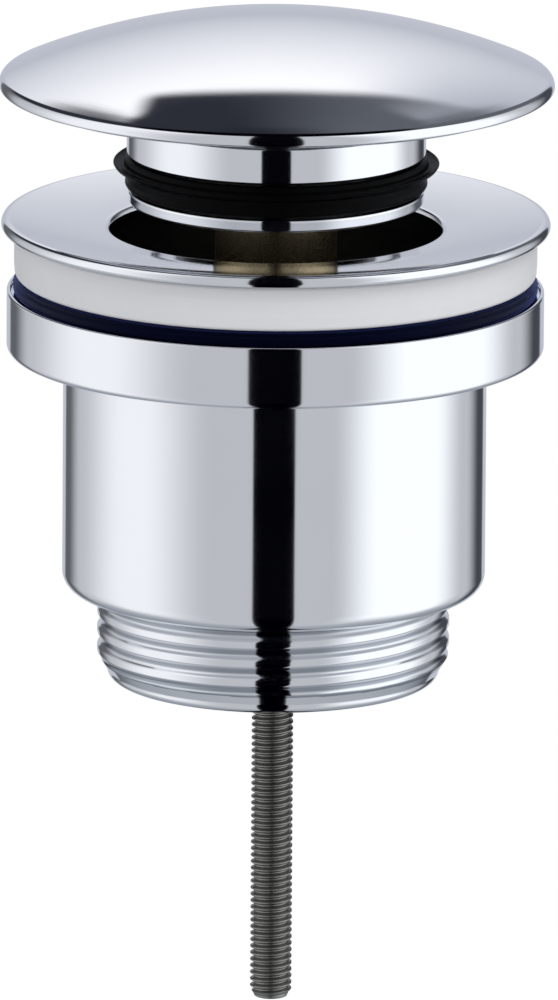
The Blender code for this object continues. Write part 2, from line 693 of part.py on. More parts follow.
def make_tail_body():
    """Collar, barrel and threaded tail in one piece, with the spider whose hub takes the bolt's bush."""
    collar_bore_r = COLLAR_R - COLLAR_LIP
    relief_r = TAIL_R - 0.65 * TAIL_PITCH
    hub_bore_r = BUSH_R + GAP
    web_top = TAIL_HUB_TOP - (TAIL_HUB_HEIGHT - WEB) / 2
    web_z = web_top - WEB
    funnel_z = web_top + 0.5 * MM
    outline = [
        (BARREL_BORE_R, COLLAR_SEAT, 0.3 * MM),
        (collar_bore_r, COLLAR_SEAT, 0),
        (collar_bore_r, COLLAR_TOP, 0.1 * MM),
        (COLLAR_R, COLLAR_TOP, 0.3 * MM),
        (COLLAR_R, COLLAR_Z, 0.9 * MM),
        (BARREL_R, COLLAR_Z, 0.3 * MM),
        (BARREL_R, BARREL_Z, BARREL_EDGE),
        (relief_r, BARREL_Z, 0),
        (relief_r, BARREL_Z - TAIL_RELIEF, 0),
        (TAIL_R, BARREL_Z - TAIL_RELIEF - TAIL_PITCH / 4, 0),
        (TAIL_R, TAIL_Z + TAIL_LEAD, 0),
        (TAIL_R - TAIL_LEAD_DEPTH, TAIL_Z, 0.5 * MM),
        (TAIL_BORE_R, TAIL_Z, 0),
        (TAIL_BORE_R, web_z, 0),
        (TAIL_HUB_R, web_z, 0),
        (TAIL_HUB_R, TAIL_HUB_Z, 0.3 * MM),
        (hub_bore_r, TAIL_HUB_Z, 0),
        (hub_bore_r, TAIL_HUB_TOP, 0),
        (TAIL_HUB_R, TAIL_HUB_TOP, 0.3 * MM),
        (TAIL_HUB_R, web_top, 0),
        (TAIL_BORE_R, web_top, 0),
        (TAIL_BORE_R, funnel_z, 0),
        (BARREL_BORE_R, funnel_z + FUNNEL_DEPTH, 0),
    ]
    tail_body = turned("tail_body", rounded(outline))
    cut_windows(tail_body, TAIL_HUB_R, TAIL_BORE_R, web_z, web_top)
    finish(tail_body, "chrome", tail)


def make_bolt_bush():
    """The threaded bush that the bolt pulls on; its flange bears under the tail's hub."""
    flange_r = BUSH_R + BUSH_FLANGE
    flange_top_z = TAIL_HUB_Z - GAP
    outline = [
        (BUSH_BORE_R, TAIL_HUB_TOP, 0),
        (BUSH_R, TAIL_HUB_TOP, 0.3 * MM),
        (BUSH_R, flange_top_z, 0),
        (flange_r, flange_top_z, 0.2 * MM),
        (flange_r, flange_top_z - BUSH_FLANGE_HEIGHT, 0.3 * MM),
        (BUSH_BORE_R, flange_top_z - BUSH_FLANGE_HEIGHT, 0),
    ]
    finish(turned("bolt_bush", rounded(outline), SMALL_STEPS), "brass", tail)


def make_rings():
    """The soft rings, washers and plain metal rings."""
    make_ring(
        "flange_gasket", SPIGOT_R + GAP, GASKET_R, GASKET_Z, -GAP, SOFT_EDGE, "white_gasket", waste
    )
    make_ring(
        "under_basin_seal",
        BARREL_BORE_R + GAP,
        COLLAR_R - COLLAR_LIP - GAP,
        TAIL_SEAL_Z,
        TAIL_SEAL_Z + SEAL_THICKNESS,
        SOFT_EDGE,
        "navy_rubber",
        tail,
    )
    make_ring(
        "seal_retainer",
        CORE_R + GAP,
        NECK_R - RETAINER_SETBACK,
        PLUG_Z,
        PLUG_Z + RETAINER_HEIGHT,
        0.3 * MM,
        "chrome",
        plug,
    )
    make_ring(
        "stop_ring",
        POST_R + RUNNING,
        SLEEVE_BORE_R + STOP_RING_SEAT - GAP,
        STOP_Z,
        STOP_TOP,
        0.2 * MM,
        "brass",
        plug,
        SMALL_STEPS,
    )
    make_ring(
        "stem_washer",
        HUB_BORE_R,
        HUB_R,
        STEM_WASHER_Z,
        STEM_WASHER_Z + STEM_WASHER,
        0,
        "acetal",
        waste,
        SMALL_STEPS,
    )
    make_ring(
        "bolt_washer",
        BOLT_R + GAP,
        WASHER_R,
        WASHER_Z,
        WASHER_Z + WASHER_THICKNESS,
        0.2 * MM,
        "zinc_steel",
        clamp,
        SMALL_STEPS,
    )


clear_scene()
parts = new_collection("pop_up_basin_waste")
cutters = new_collection("cutters")
materials = {name: new_material(name, *values) for name, values in FINISHES.items()}

# One empty for each group that moves, on the axis that it slides along or turns about
waste = link("waste_axis", None, parts)
plug = link("plug_axis", None, parts)
latch = link("latch_axis", None, parts)
clamp = link("clamp_axis", None, parts)
tail = link("tail_axis", None, parts)

make_basin_flange()
make_rings()
make_cartridge_stem()
make_latch_clip()
make_latch_ring()
make_cartridge_spring()
make_cartridge_sleeve()
make_cartridge_cap()
make_lock_nut()
make_plug_body()
make_plug_dome()
make_plug_seal()
make_clamp_bolt()
make_tail_body()
make_bolt_bush()
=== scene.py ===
"""The looks of a push-open basin waste: chromed, turned pieces, their seals, and a long threaded bolt.

Nearly every piece is a surface turned about the Z axis. A surface is a grid of rows by columns: a row is a
point of the piece's profile, or a line that follows a thread, and a column is an angle about the axis. The
rows' radii and heights are worked out as whole arrays, and one function makes the mesh from them.
"""

import json
from math import asin, cos, pi, radians, sin, sqrt, tan
from types import SimpleNamespace

import bmesh
import bpy
import numpy as np
from mathutils import Matrix, Vector

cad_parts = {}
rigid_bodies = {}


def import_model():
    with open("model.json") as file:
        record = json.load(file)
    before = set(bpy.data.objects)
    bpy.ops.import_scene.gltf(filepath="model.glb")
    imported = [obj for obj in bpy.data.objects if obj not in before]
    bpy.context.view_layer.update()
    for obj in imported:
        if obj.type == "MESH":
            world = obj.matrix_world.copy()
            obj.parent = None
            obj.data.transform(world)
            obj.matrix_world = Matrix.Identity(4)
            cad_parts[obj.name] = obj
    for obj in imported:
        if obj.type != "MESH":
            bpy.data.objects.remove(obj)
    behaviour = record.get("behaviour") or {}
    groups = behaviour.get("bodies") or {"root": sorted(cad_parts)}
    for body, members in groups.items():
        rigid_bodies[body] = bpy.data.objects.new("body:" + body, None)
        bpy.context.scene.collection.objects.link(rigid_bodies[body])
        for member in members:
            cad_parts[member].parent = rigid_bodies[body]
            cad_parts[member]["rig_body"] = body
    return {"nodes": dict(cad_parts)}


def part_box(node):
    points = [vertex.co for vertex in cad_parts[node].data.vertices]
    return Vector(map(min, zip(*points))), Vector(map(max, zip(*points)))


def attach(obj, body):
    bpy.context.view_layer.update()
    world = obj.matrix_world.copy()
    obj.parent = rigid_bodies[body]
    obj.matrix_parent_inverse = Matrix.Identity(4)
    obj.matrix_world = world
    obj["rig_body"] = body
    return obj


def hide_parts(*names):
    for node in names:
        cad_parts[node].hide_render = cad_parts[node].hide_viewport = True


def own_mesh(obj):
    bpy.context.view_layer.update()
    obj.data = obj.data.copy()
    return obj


bl_info = {
    "name": "Pop-up basin waste",
    "version": (1, 0, 0),
    "blender": (4, 5, 0),
    "location": "3D View > Sidebar > Basin waste",
    "description": "Builds the finished pieces of a push-open basin waste and a small studio for it",
    "category": "Object",
}

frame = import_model()

MM = 0.001

# Clearances, and the radii of the small broken edges
GAP = 0.3 * MM
RUNNING = 0.2 * MM
FINE = 0.1 * MM
SOFT = 0.2 * MM
ROUND = 0.3 * MM
FULL = 0.5 * MM
SHARP_ANGLE = radians(38)
WELD = 2e-8

# Fineness of the grids
BIG_COLUMNS = 192
SMALL_COLUMNS = 96
ARC_STEPS = 8
HOLD = 0.06 * MM  # a row this far from each fillet keeps the flat beside it flat
SIDE_SHARE = 0.96  # how much of a side its two fillets may take

# Plug
DOME_WALL = 0.8 * MM
DOME_ROWS = 56
DOME_RIM = 1.2 * MM  # height of the rim under the ball's edge
DOME_EDGE = 1.15 * MM
DOME_EDGE_START = 1.4 * DOME_EDGE  # the ball's own points stop this far short of the rim
DOME_FOOT = 0.4 * MM
NECK_STEP = 0.15 * MM  # the neck stands out from the retainer
NECK_HEIGHT = 4.3 * MM
GROOVE_DEPTH = 3.25 * MM  # the seal's groove
CORE_WALL = 2.5 * MM
CAVITY_EDGE = 0.8 * MM
PLATE = 2.2 * MM
PLATE_RISE = 1.1 * MM  # the plate's underside above the neck's top
UNDERSIDE_SWELL = 0.12 * MM
UNDERSIDE_ROWS = 12
STUD_R = 4.0 * MM
BAND_STEP = 0.25 * MM  # the seal's band stands out from the neck
BAND_EDGE = 0.6 * MM
LIP_THICKNESS = 0.5 * MM
LIP_HEIGHT = 2.0 * MM  # where the lip leaves the band, above the seal's foot
LIP_RISE = 0.5 * MM

# Cartridge
SLEEVE_WALL = 1.0 * MM
RIB_DEPTH = 0.95 * MM
RIB_HALF_WIDTH = 1.4 * MM
RIB_LENGTH = 4.9 * MM
RIB_RAMP = 0.55 * MM  # a rib's end rises by this on each side of its middle
RIB_CLEARANCE = 0.6 * MM
RIB_COLUMNS = 5
BORE_COLUMNS = 14
STOP_SEAT = 0.35 * MM
CAP_PLATE = 1.4 * MM
CAP_TENON_STEP = 1.3 * MM
CAP_TENON = 1.8 * MM
GUIDE_PIN_R = 1.5 * MM
STEM_BORE = 3.1 * MM
STEM_JOURNAL = 4.1 * MM
STEM_GROOVE = 3.6 * MM
STEM_POST = 4.6 * MM
STEM_TENON = 4.7 * MM
STEM_FLATS = 15.0 * MM
STEM_NUT = 3.0 * MM
NUT_FLATS = 13.0 * MM
HEXAGON_SLOPE = 2.3

# Flange
FLANGE_SAG = 0.25 * MM
FLANGE_ROWS = 16
FLANGE_EDGE = 0.95 * MM
FLANGE_FOOT = 0.4 * MM
DISH_DEPTH = 1.3 * MM
HOLE_EDGE = 0.7 * MM
HOLE_LIT = 2.5 * MM  # the plating is left bright this far down the hole; below, it is painted dark as the hollow's shade
SPIGOT_WALL = 2.15 * MM
ARMS = 4
ARM_WIDTH = 3.2 * MM
WEB = 3.5 * MM
WINDOW_LEDGE = 0.4 * MM
WINDOW_CORNER = 1.2 * MM
WINDOW_POINTS = 20
WINDOW_BEVEL_STEPS = 5
WINDOW_CORNER_ANGLE = radians(50)
HUB_WALL = 2.0 * MM
BOLT_HOLE = 2.54 * MM

# Seals
GASKET_SWELL = 0.1 * MM
GASKET_BELLY = 1.0 * MM  # the belly's half height
NAVY_PLAY = 1.15 * MM
NAVY_BEAD = 0.45 * MM  # height of the bead along its top
NAVY_BEAD_STEP = 0.35 * MM

# Tail
COLLAR_HEIGHT = 7.5 * MM
COLLAR_LIP = 0.45 * MM
COLLAR_LIP_HEIGHT = 0.6 * MM
TAIL_WALL = 3.45 * MM
TAIL_HUB_HEIGHT = 8.0 * MM
TAIL_HUB_DROP = 4.15 * MM
HUB_RIM = 1.7 * MM
FUNNEL_DEPTH = 2.0 * MM
FUNNEL_STEP = 0.5 * MM
BARREL_PLAY = 0.85 * MM
BARREL_WALL = 2.5 * MM
BARREL_EDGE = 2.0 * MM
COLLAR_EDGE = 0.9 * MM
TAIL_R = 41.91 * MM / 2
THREAD_START = 0.5 * MM  # turned-down run under the barrel
THREAD_FADE = 0.3 * MM
TAIL_LEAD = 1.9 * MM
TAIL_LEAD_DEPTH = 1.2 * MM
TAIL_FOOT = 1.2 * MM
TAIL_FLATS = (0.2, 0.1)  # the thread's flat crest and root, as shares of its pitch
TAIL_ROWS_PER_PITCH = 24
ROOT_UPWARD = 2.5  # how fast a root's painted shade ends where its side turns up

# Bolt and its bush
HEAD_HEIGHT = 3.2 * MM
HEAD_EDGE = 0.6 * MM
SHANK = 2.0 * MM  # plain run under the head
TIP = 0.3 * MM
TIP_SLOPE = 0.7
BOLT_COLUMNS = 48
BOLT_FLATS = (0.14, 0.08)
BOLT_ROWS_PER_PITCH = 12
BOLT_SLOT_WIDTH = 1.3 * MM
BOLT_SLOT_DEPTH = 1.5 * MM
BUSH_FLANGE = 1.4 * MM
BUSH_FLANGE_HEIGHT = 1.2 * MM

# How far a cutter stands out of what it cuts
OVERCUT = 1.0 * MM

# Spring
WIRE_R = 0.4 * MM
SPRING_TURNS = 11
END_PITCH = 2.3 * WIRE_R
WIRE_SIDES = 14
STEPS_PER_TURN = 40


def reach(node):
    """The radius of a turned CAD node, its lowest height and its highest."""
    low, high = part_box(node)
    return high.x, low.z, high.z


# Settings that a user would change


def number(name, description, default, **kind):
    """A setting that is a number of some kind, such as an angle."""
    return bpy.props.FloatProperty(name=name, description=description, default=default, **kind)


def colour(name, description, default):
    """A setting that is a colour."""
    kind = {"subtype": "COLOR", "min": 0, "max": 1}
    return bpy.props.FloatVectorProperty(name=name, description=description, default=default, **kind)


class WasteThreads(bpy.types.PropertyGroup):
    """Sizes of the two threads."""

    tail_pitch: number("Tail pitch", "Distance between the pipe thread's crests", 2.309 * MM, unit="LENGTH")
    tail_depth: number("Tail thread depth", "How deep the pipe thread is cut", 0.5 * MM, unit="LENGTH")
    bolt_pitch: number("Bolt pitch", "Distance between the bolt's crests", 0.8 * MM, unit="LENGTH")
    bolt_radius: number("Bolt radius", "Radius of the bolt over its crests", 2.48 * MM, unit="LENGTH")
    bolt_depth: number("Bolt thread depth", "How deep the bolt's thread is rolled", 0.46 * MM, unit="LENGTH")


class WasteFinishes(bpy.types.PropertyGroup):
    """Colours and gloss of the finishes."""

    chrome: colour("Chrome", "Colour of the polished plating", (0.80, 0.81, 0.84))
    chrome_roughness: number(
        "Chrome roughness", "Roughness where the plating is cleanest", 0.035, min=0, max=1, subtype="FACTOR"
    )
    brass: colour("Brass", "Colour of the unplated brass", (0.42, 0.34, 0.21))
    steel: colour("Zinc steel", "Colour of the bolt", (0.30, 0.295, 0.28))
    spring: colour("Spring steel", "Colour of the drawn wire and the clip", (0.55, 0.55, 0.54))
    gasket: colour("White gasket", "Colour of the gasket under the flange", (0.74, 0.75, 0.78))
    navy: colour("Navy seal", "Colour of the seal under the basin", (0.001, 0.0015, 0.007))
    black: colour("Black seal", "Colour of the plug's seal", (0.0015, 0.0015, 0.002))
    acetal: colour("Acetal", "Colour of the moulded latch ring and washer", (0.78, 0.77, 0.73))


class WasteStudio(bpy.types.PropertyGroup):
    """The camera and the light."""

    elevation: number("Camera elevation", "Angle above the horizon", radians(13.3), subtype="ANGLE")
    roll: number("Camera roll", "Turn of the camera about its own view", radians(0.4), subtype="ANGLE")
    lens: number("Lens", "Focal length of the camera, in millimetres", 950)
    key_power: number("Key light", "Power of the soft light above, in watts", 5.0, subtype="POWER")
    fill: number("Fill", "Brightness of the surroundings for matt surfaces", 0.75, min=0)
    tent: number("Tent", "Brightness of the surroundings that the chrome mirrors", 1.3, min=0)


# Shapes


def outline(corners, closed=True):
    """The line through corners (r, z, fillet), as an array of points.

    A fillet is an arc: its centre lies on the corner's bisector at the radius over the sine of half the
    angle, and its points turn evenly from one tangent point to the other. Two fillets that would meet on
    their side shrink to share it, and where the side is longer a point beside the arc keeps it flat.
    """
    places = [Vector(corner[:2]) for corner in corners]
    count = len(places)
    sides = [places[(i + 1) % count] - places[i] for i in range(count)]
    halves = [pi / 2] * count
    runs = [0.0] * count
    for i in range(count) if closed else range(1, count - 1):
        if corners[i][2] > 0:
            halves[i] = sides[i].angle(-sides[i - 1]) / 2
            runs[i] = corners[i][2] / tan(halves[i])
    taken = []
    for i, side in enumerate(sides):
        both = max(runs[i] + runs[(i + 1) % count], 1e-9)
        taken.append(min(1, SIDE_SHARE * side.length / both))
    runs = [run * min(taken[i], taken[i - 1]) for i, run in enumerate(runs)]
    points = []
    for i, (here, half, run) in enumerate(zip(places, halves, runs)):
        if run == 0:
            points.append(here)
            continue
        back = -sides[i - 1].normalized()
        ahead = sides[i].normalized()
        centre = here + (back + ahead).normalized() * run / cos(half)
        start = here + back * run - centre
        sweep = (here + ahead * run - centre).angle_signed(start)
        if sides[i - 1].length - run - runs[i - 1] > 3 * HOLD:
            points.append(here + back * (run + HOLD))
        for k in range(ARC_STEPS + 1):
            points.append(centre + Matrix.Rotation(sweep * k / ARC_STEPS, 2) @ start)
        if sides[i].length - run - runs[(i + 1) % count] > 3 * HOLD:
            points.append(here + ahead * (run + HOLD))
    return np.array(points)


def plain_rows(points, columns):
    """Rows whose radius and height are the same at every angle."""
    ones = np.ones(columns + 1)
    return np.outer(points[:, 0], ones), np.outer(points[:, 1], ones)


def stacked(*parts):
    """Groups of rows, each a pair of arrays of radii and heights, one under another."""
    return np.vstack([r for r, z in parts]), np.vstack([z for r, z in parts])


def open_rows(corners, columns=BIG_COLUMNS):
    """Plain rows through the corners of an open profile."""
    return plain_rows(outline(corners, closed=False), columns)


def less(rows, first, last):
    """Rows without some at their start and at their end."""
    return tuple(array[first : len(array) - last] for array in rows)


def grid_mesh(name, places, closed):
    """A mesh from an array of rows by columns by three: quads between neighbours, and welded seams."""
    rows, columns = places.shape[:2]
    i, j = np.meshgrid(np.arange(rows if closed else rows - 1), np.arange(columns - 1), indexing="ij")
    below = (i + 1) % rows
    first, second = i * columns + j, below * columns + j
    quads = np.stack([first, second, second + 1, first + 1], -1)
    mesh = bpy.data.meshes.new(name)
    mesh.vertices.add(rows * columns)
    mesh.vertices.foreach_set("co", places.astype(np.float32).ravel())
    mesh.loops.add(quads.size)
    mesh.loops.foreach_set("vertex_index", quads.astype(np.int32).ravel())
    mesh.polygons.add(quads.size // 4)
    mesh.polygons.foreach_set("loop_start", np.arange(0, quads.size, 4, dtype=np.int32))
    mesh.update(calc_edges=True)
    edit = bmesh.new()
    edit.from_mesh(mesh)
    bmesh.ops.remove_doubles(edit, verts=edit.verts, dist=WELD)
    edit.to_mesh(mesh)
    edit.free()
    return mesh


def turned_mesh(name, rows, closed=True, angles=None):
    """Row i at angle a is the point (r cos a, r sin a, z); the angles are even unless they are given."""
    radii, heights = rows
    if angles is None:
        angles = np.linspace(0, 2 * pi, radii.shape[1])
    places = np.stack([radii * np.cos(angles), radii * np.sin(angles), heights], -1)
    return grid_mesh(name, places, closed)


def turned(name, corners, columns=BIG_COLUMNS, closed=True):
    """A plain turned piece from its profile's corners, which run clockwise with the radius to the right."""
    return turned_mesh(name, plain_rows(outline(corners, closed), columns), closed)


def thread_wave(phase, crest, root):
    """Height of a thread, 1 on its crest and 0 in its root, at a phase of 0 to 1 along the pitch.

    The crest and the root are flat for their share of the pitch, and half a cosine joins them.
    """
    off_crest = 2 * np.abs(phase % 1 - 0.5)
    share = np.clip((off_crest - crest) / (1 - crest - root), 0, 1)
    return 0.5 + 0.5 * np.cos(pi * share)


def thread_rows(top, low, radius, depth, pitch, columns, per_pitch, flats, fade, lead):
    """Rows of a right-hand thread from top down to low.

    A row starts at a height s and rises by one pitch in a turn, so a crest lies along a row. Heights past
    the two ends are moved to them. The depth fades in over the run under the top. The lead narrows the
    lower end to a cone: over its height the radius falls by its depth times the share of the way down.
    """
    crest, root = flats
    count = int((top - low + pitch) / pitch * per_pitch) + 2
    starts = top - pitch * np.arange(count) / per_pitch
    turn = np.linspace(0, 1, columns + 1)
    heights = np.clip(starts[:, None] + pitch * turn, low, top)
    phase = (heights - top) / pitch - turn
    fade_in = np.clip((top - heights) / fade, 0, 1)
    radii = radius - depth * (1 - thread_wave(phase, crest, root)) * fade_in
    lead_height, lead_depth = lead
    way_down = np.clip(1 - (heights - low) / lead_height, 0, 1)
    return np.minimum(radii, radius - lead_depth * way_down), heights


def hexagon_rows(across_flats, low, high, columns, chamfer):
    """Rows of a hexagon: the flat is at half its width over the cosine of the angle off the flat's middle.

    The corners are turned down to a cone, so the radius is the lesser of the two.
    """
    angles = np.linspace(0, 2 * pi, columns + 1)
    off_middle = (angles + pi / 6) % (pi / 3) - pi / 6
    flat = across_flats / 2 / np.cos(off_middle)
    corner = across_flats / sqrt(3)
    drops = np.array([0, 0.25, 0.5, 0.75, 1]) * (corner - across_flats / 2) / chamfer
    heights = np.concatenate([high - drops, (low + drops)[::-1]])
    cones = across_flats / 2 + np.minimum(high - heights, heights - low) * chamfer
    return np.minimum(flat[None, :], cones[:, None]), np.outer(heights, np.ones(columns + 1))


def dish(inner, outer, low, high, sag, count):
    """Points of a cone from the inner radius to the outer one, hollowed by a parabola of the sag's depth."""
    t = np.linspace(0, 1, count)[1:-1]
    r = inner + (outer - inner) * t
    z = low + (high - low) * t - 4 * sag * t * (1 - t)
    return [(a, b, 0) for a, b in zip(r, z)]


def cap_of_ball(radius, centre, start, end, count):
    """Points of a ball of that radius, by even angles from the axis."""
    angles = np.linspace(start, end, count)
    return [(radius * sin(a), centre + radius * cos(a), 0) for a in angles]


# Pieces

# Each finish's material, and the name of its slot
FINISHES = {
    "chrome": ("polished_chrome", "chrome"),
    "brass": ("turned_brass", "brass"),
    "steel": ("rolled_zinc_steel", "zinc_steel"),
    "spring": ("drawn_spring_steel", "spring_steel"),
    "gasket": ("white_gasket_rubber", "white_gasket"),
    "navy": ("navy_seal_rubber", "navy_rubber"),
    "black": ("black_seal_rubber", "black_rubber"),
    "acetal": ("moulded_acetal", "acetal"),
}


def link(thing):
    """Puts an object in the scene."""
    bpy.context.scene.collection.objects.link(thing)
    return thing


def coat(mesh, finish):
    """Gives a mesh one finish and no other, and returns the finish's slot."""
    material, slot = FINISHES[finish]
    mesh.materials.clear()
    mesh.materials.append(bpy.data.materials[material])
    return slot


def present(mesh, node, finish):
    """Puts a finished mesh in the scene in the place of its CAD node, on the same moving body."""
    mesh.shade_smooth()
    mesh.set_sharp_from_angle(angle=SHARP_ANGLE)
    slot = coat(mesh, finish)
    piece = bpy.data.objects.new("finished_" + node, mesh)
    link(piece)
    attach(piece, frame["nodes"][node]["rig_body"])
    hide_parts(node)
    return piece


def cut(mesh, cutters):
    """The mesh less the cutters' meshes, by exact Booleans."""
    base = link(bpy.data.objects.new("base", mesh))
    for cutter in cutters:
        boolean = base.modifiers.new("Cut", "BOOLEAN")
        boolean.operation = "DIFFERENCE"
        boolean.object = link(cutter)
    bpy.context.view_layer.update()
    made = bpy.data.meshes.new_from_object(base.evaluated_get(bpy.context.evaluated_depsgraph_get()))
    for helper in (base, *cutters):
        bpy.data.objects.remove(helper)
    made.name = mesh.name
    return made


def window_cutters(inner, outer, low, high, corner):
    """One bar for each opening of a spider, between two radii and two parallel arms, with round corners."""
    cutters = []
    for index in range(ARMS):
        start = 2 * pi * index / ARMS
        sides = []
        for radius, order in ((outer, 1), (inner, -1)):
            edge = asin(ARM_WIDTH / 2 / radius)
            angles = start + np.linspace(edge, 2 * pi / ARMS - edge, WINDOW_POINTS)[::order]
            sides.append(np.stack([radius * np.cos(angles), radius * np.sin(angles)], -1))
        flat = np.vstack(sides)
        ring = np.vstack([flat, flat[:1]])
        middle = np.repeat(flat.mean(0)[None], len(ring), 0)
        levels = [(middle, high), (ring, high), (ring, low), (middle, low)]
        places = np.stack([np.column_stack([xy, np.full(len(ring), z)]) for xy, z in levels])
        cutter = bpy.data.objects.new(f"window_{index}", grid_mesh("window", places, False))
        bevel = cutter.modifiers.new("Round corners", "BEVEL")
        bevel.width = corner
        bevel.segments = WINDOW_BEVEL_STEPS
        bevel.limit_method = "ANGLE"
        bevel.angle_limit = WINDOW_CORNER_ANGLE
        cutters.append(cutter)
    return cutters


def plug_sizes():
    """The plug's sizes, as the frame gives them."""
    dome_r, dome_low, dome_top = reach("plug_dome")
    seal_r, seal_low, seal_high = reach("plug_seal")
    retainer_r, retainer_low, retainer_high = reach("seal_retainer")
    neck_r = retainer_r + NECK_STEP
    return SimpleNamespace(
        dome_r=dome_r,
        dome_low=dome_low,
        dome_top=dome_top,
        rim_top=dome_low + DOME_RIM,
        dish_r=reach("plug_body")[0],
        neck_r=neck_r,
        neck_low=seal_high + GAP,
        neck_top=seal_high + GAP + NECK_HEIGHT,
        core_r=neck_r - GROOVE_DEPTH,
        lip_r=seal_r,
        seal_low=seal_low,
        seal_high=seal_high,
        retainer_r=retainer_r,
        retainer_low=retainer_low,
        retainer_high=retainer_high,
    )


def spigot_sizes():
    """The radii of the flange's throat and of the spigot round it."""
    throat_r = reach("plug_seal")[0] + GAP
    return throat_r, throat_r + SPIGOT_WALL


def ball_of_dome(s):
    """Radius and centre height of the ball whose cap is the dome, by the rim's chord and the dome's rise."""
    rise = s.dome_top - s.rim_top
    radius = (s.dome_r**2 + rise**2) / (2 * rise)
    return radius, s.dome_top - radius


def make_plug_dome():
    """The polished cap: a thin shell of a ball whose rim is rolled round and turned down."""
    s = plug_sizes()
    ball_r, ball_z = ball_of_dome(s)
    wall_r = s.dome_r - DOME_WALL
    inner_r = ball_r - DOME_WALL
    corners = [
        *cap_of_ball(ball_r, ball_z, 0, asin((s.dome_r - DOME_EDGE_START) / ball_r), DOME_ROWS),
        (s.dome_r, ball_z + sqrt(ball_r**2 - s.dome_r**2), DOME_EDGE),
        (s.dome_r, s.dome_low, DOME_FOOT),
        (wall_r, s.dome_low, SOFT),
        *cap_of_ball(inner_r, ball_z, asin(wall_r / inner_r), 0, DOME_ROWS),
    ]
    present(turned("dome", corners, closed=False), "plug_dome", "chrome")


def make_plug_body():
    """The plug under its dome: dished underside, straight neck, the seal's groove and the cavity."""
    s = plug_sizes()
    ball_r, ball_z = ball_of_dome(s)
    edge_z = ball_z + sqrt((ball_r - DOME_WALL) ** 2 - s.dish_r**2) - GAP
    rise = s.dome_low - s.neck_top
    under_z = s.neck_top + rise * (s.dish_r - s.neck_r) / (s.dome_r - s.neck_r)
    plate_z = s.neck_top + PLATE_RISE
    low = reach("plug_body")[1]
    cavity_r = s.core_r - CORE_WALL
    corners = [
        (STUD_R, plate_z + PLATE, 0),
        (s.neck_r, plate_z + PLATE, 0),
        (s.dish_r, edge_z, ROUND),
        (s.dish_r, under_z, SOFT),
        *dish(s.neck_r, s.dish_r, s.neck_top, under_z, -UNDERSIDE_SWELL, UNDERSIDE_ROWS)[::-1],
        (s.neck_r, s.neck_top, ROUND),
        (s.neck_r, s.neck_low, ROUND),
        (s.core_r, s.neck_low, 0),
        (s.core_r, low, ROUND),
        (cavity_r, low, ROUND),
        (cavity_r, plate_z, CAVITY_EDGE),
        (STUD_R, plate_z, 0),
    ]
    present(turned("body", corners), "plug_body", "chrome")


def make_plug_seal():
    """The black seal: a thick band in the groove, and a thin lip that stands out and turns up at its edge."""
    s = plug_sizes()
    band_r = s.neck_r + BAND_STEP
    inner = s.core_r + GAP
    lip_z = s.seal_low + LIP_HEIGHT
    edge_z = lip_z + LIP_RISE
    corners = [
        (inner, s.seal_high, 0),
        (band_r, s.seal_high, BAND_EDGE),
        (band_r, lip_z + LIP_THICKNESS, ROUND),
        (s.lip_r - 2 * SOFT, edge_z + LIP_THICKNESS / 2, 2 * SOFT),
        (s.lip_r - FINE / 2, edge_z + LIP_THICKNESS, FINE),
        (s.lip_r, edge_z + ROUND, FINE),
        (s.lip_r - LIP_THICKNESS / 2, edge_z - FINE, ROUND),
        (band_r, lip_z, ROUND),
        (band_r - FINE, s.seal_low + LIP_HEIGHT / 2, LIP_HEIGHT / 2),
        (band_r, s.seal_low, FULL),
        (inner, s.seal_low, 0),
    ]
    present(turned("seal", corners), "plug_seal", "black")


def make_retainer():
    """The chromed ring that keeps the seal on."""
    s = plug_sizes()
    inner = s.core_r + GAP
    corners = [
        (inner, s.retainer_high, 0),
        (s.retainer_r, s.retainer_high, ROUND),
        (s.retainer_r, s.retainer_low, FULL),
        (inner, s.retainer_low, 0),
    ]
    present(turned("retainer", corners), "seal_retainer", "chrome")


def make_cartridge_sleeve():
    """The brass tube, its cam ribs inside, and the step for its stop ring.

    The bore's radius depends on the angle: it is the ribs' radius within half a rib's width of each quarter
    turn, and two columns at one angle make a rib's upright side. The ribs' ends rise across their width.
    """
    outer, low, high = reach("cartridge_sleeve")
    bore = outer - SLEEVE_WALL
    rib_r = bore - RIB_DEPTH
    half_width = asin(RIB_HALF_WIDTH / rib_r)
    side = np.linspace(-half_width, half_width, RIB_COLUMNS)
    gap = np.linspace(half_width, 2 * pi / ARMS - half_width, BORE_COLUMNS)
    starts = 2 * pi * np.arange(ARMS)[:, None] / ARMS
    angles = (starts + np.concatenate([side, gap])).ravel()
    on_rib = np.tile(np.repeat([1, 0], [RIB_COLUMNS, BORE_COLUMNS]), ARMS)
    rise = np.tile(np.concatenate([side / half_width, 0 * gap]), ARMS)
    angles = np.append(angles, angles[0] + 2 * pi)
    on_rib = np.append(on_rib, on_rib[0])
    rise = np.append(rise, rise[0])
    seat_r = bore + STOP_SEAT
    seat_top = reach("stop_ring")[2] + GAP
    rib_low = reach("latch_ring")[2] + RIB_CLEARANCE + RIB_RAMP
    rib_high = rib_low + RIB_LENGTH
    slope = RIB_RAMP * rise
    corners = [
        (bore, high, 0),
        (outer, high, ROUND),
        (outer, low, ROUND),
        (seat_r, low, FINE),
        (seat_r, seat_top, 0),
        (bore, seat_top, 0),
    ]
    ones = np.ones(len(angles))
    rib_radii = np.where(on_rib > 0, rib_r, bore)
    ribs = (
        np.stack([bore * ones, rib_radii, rib_radii, bore * ones]),
        np.stack([rib_low + slope, rib_low + slope, rib_high + slope, rib_high + slope]),
    )
    rows = stacked(open_rows(corners, len(angles) - 1), ribs)
    mesh = turned_mesh("sleeve", rows, angles=angles)
    present(mesh, "cartridge_sleeve", "brass")


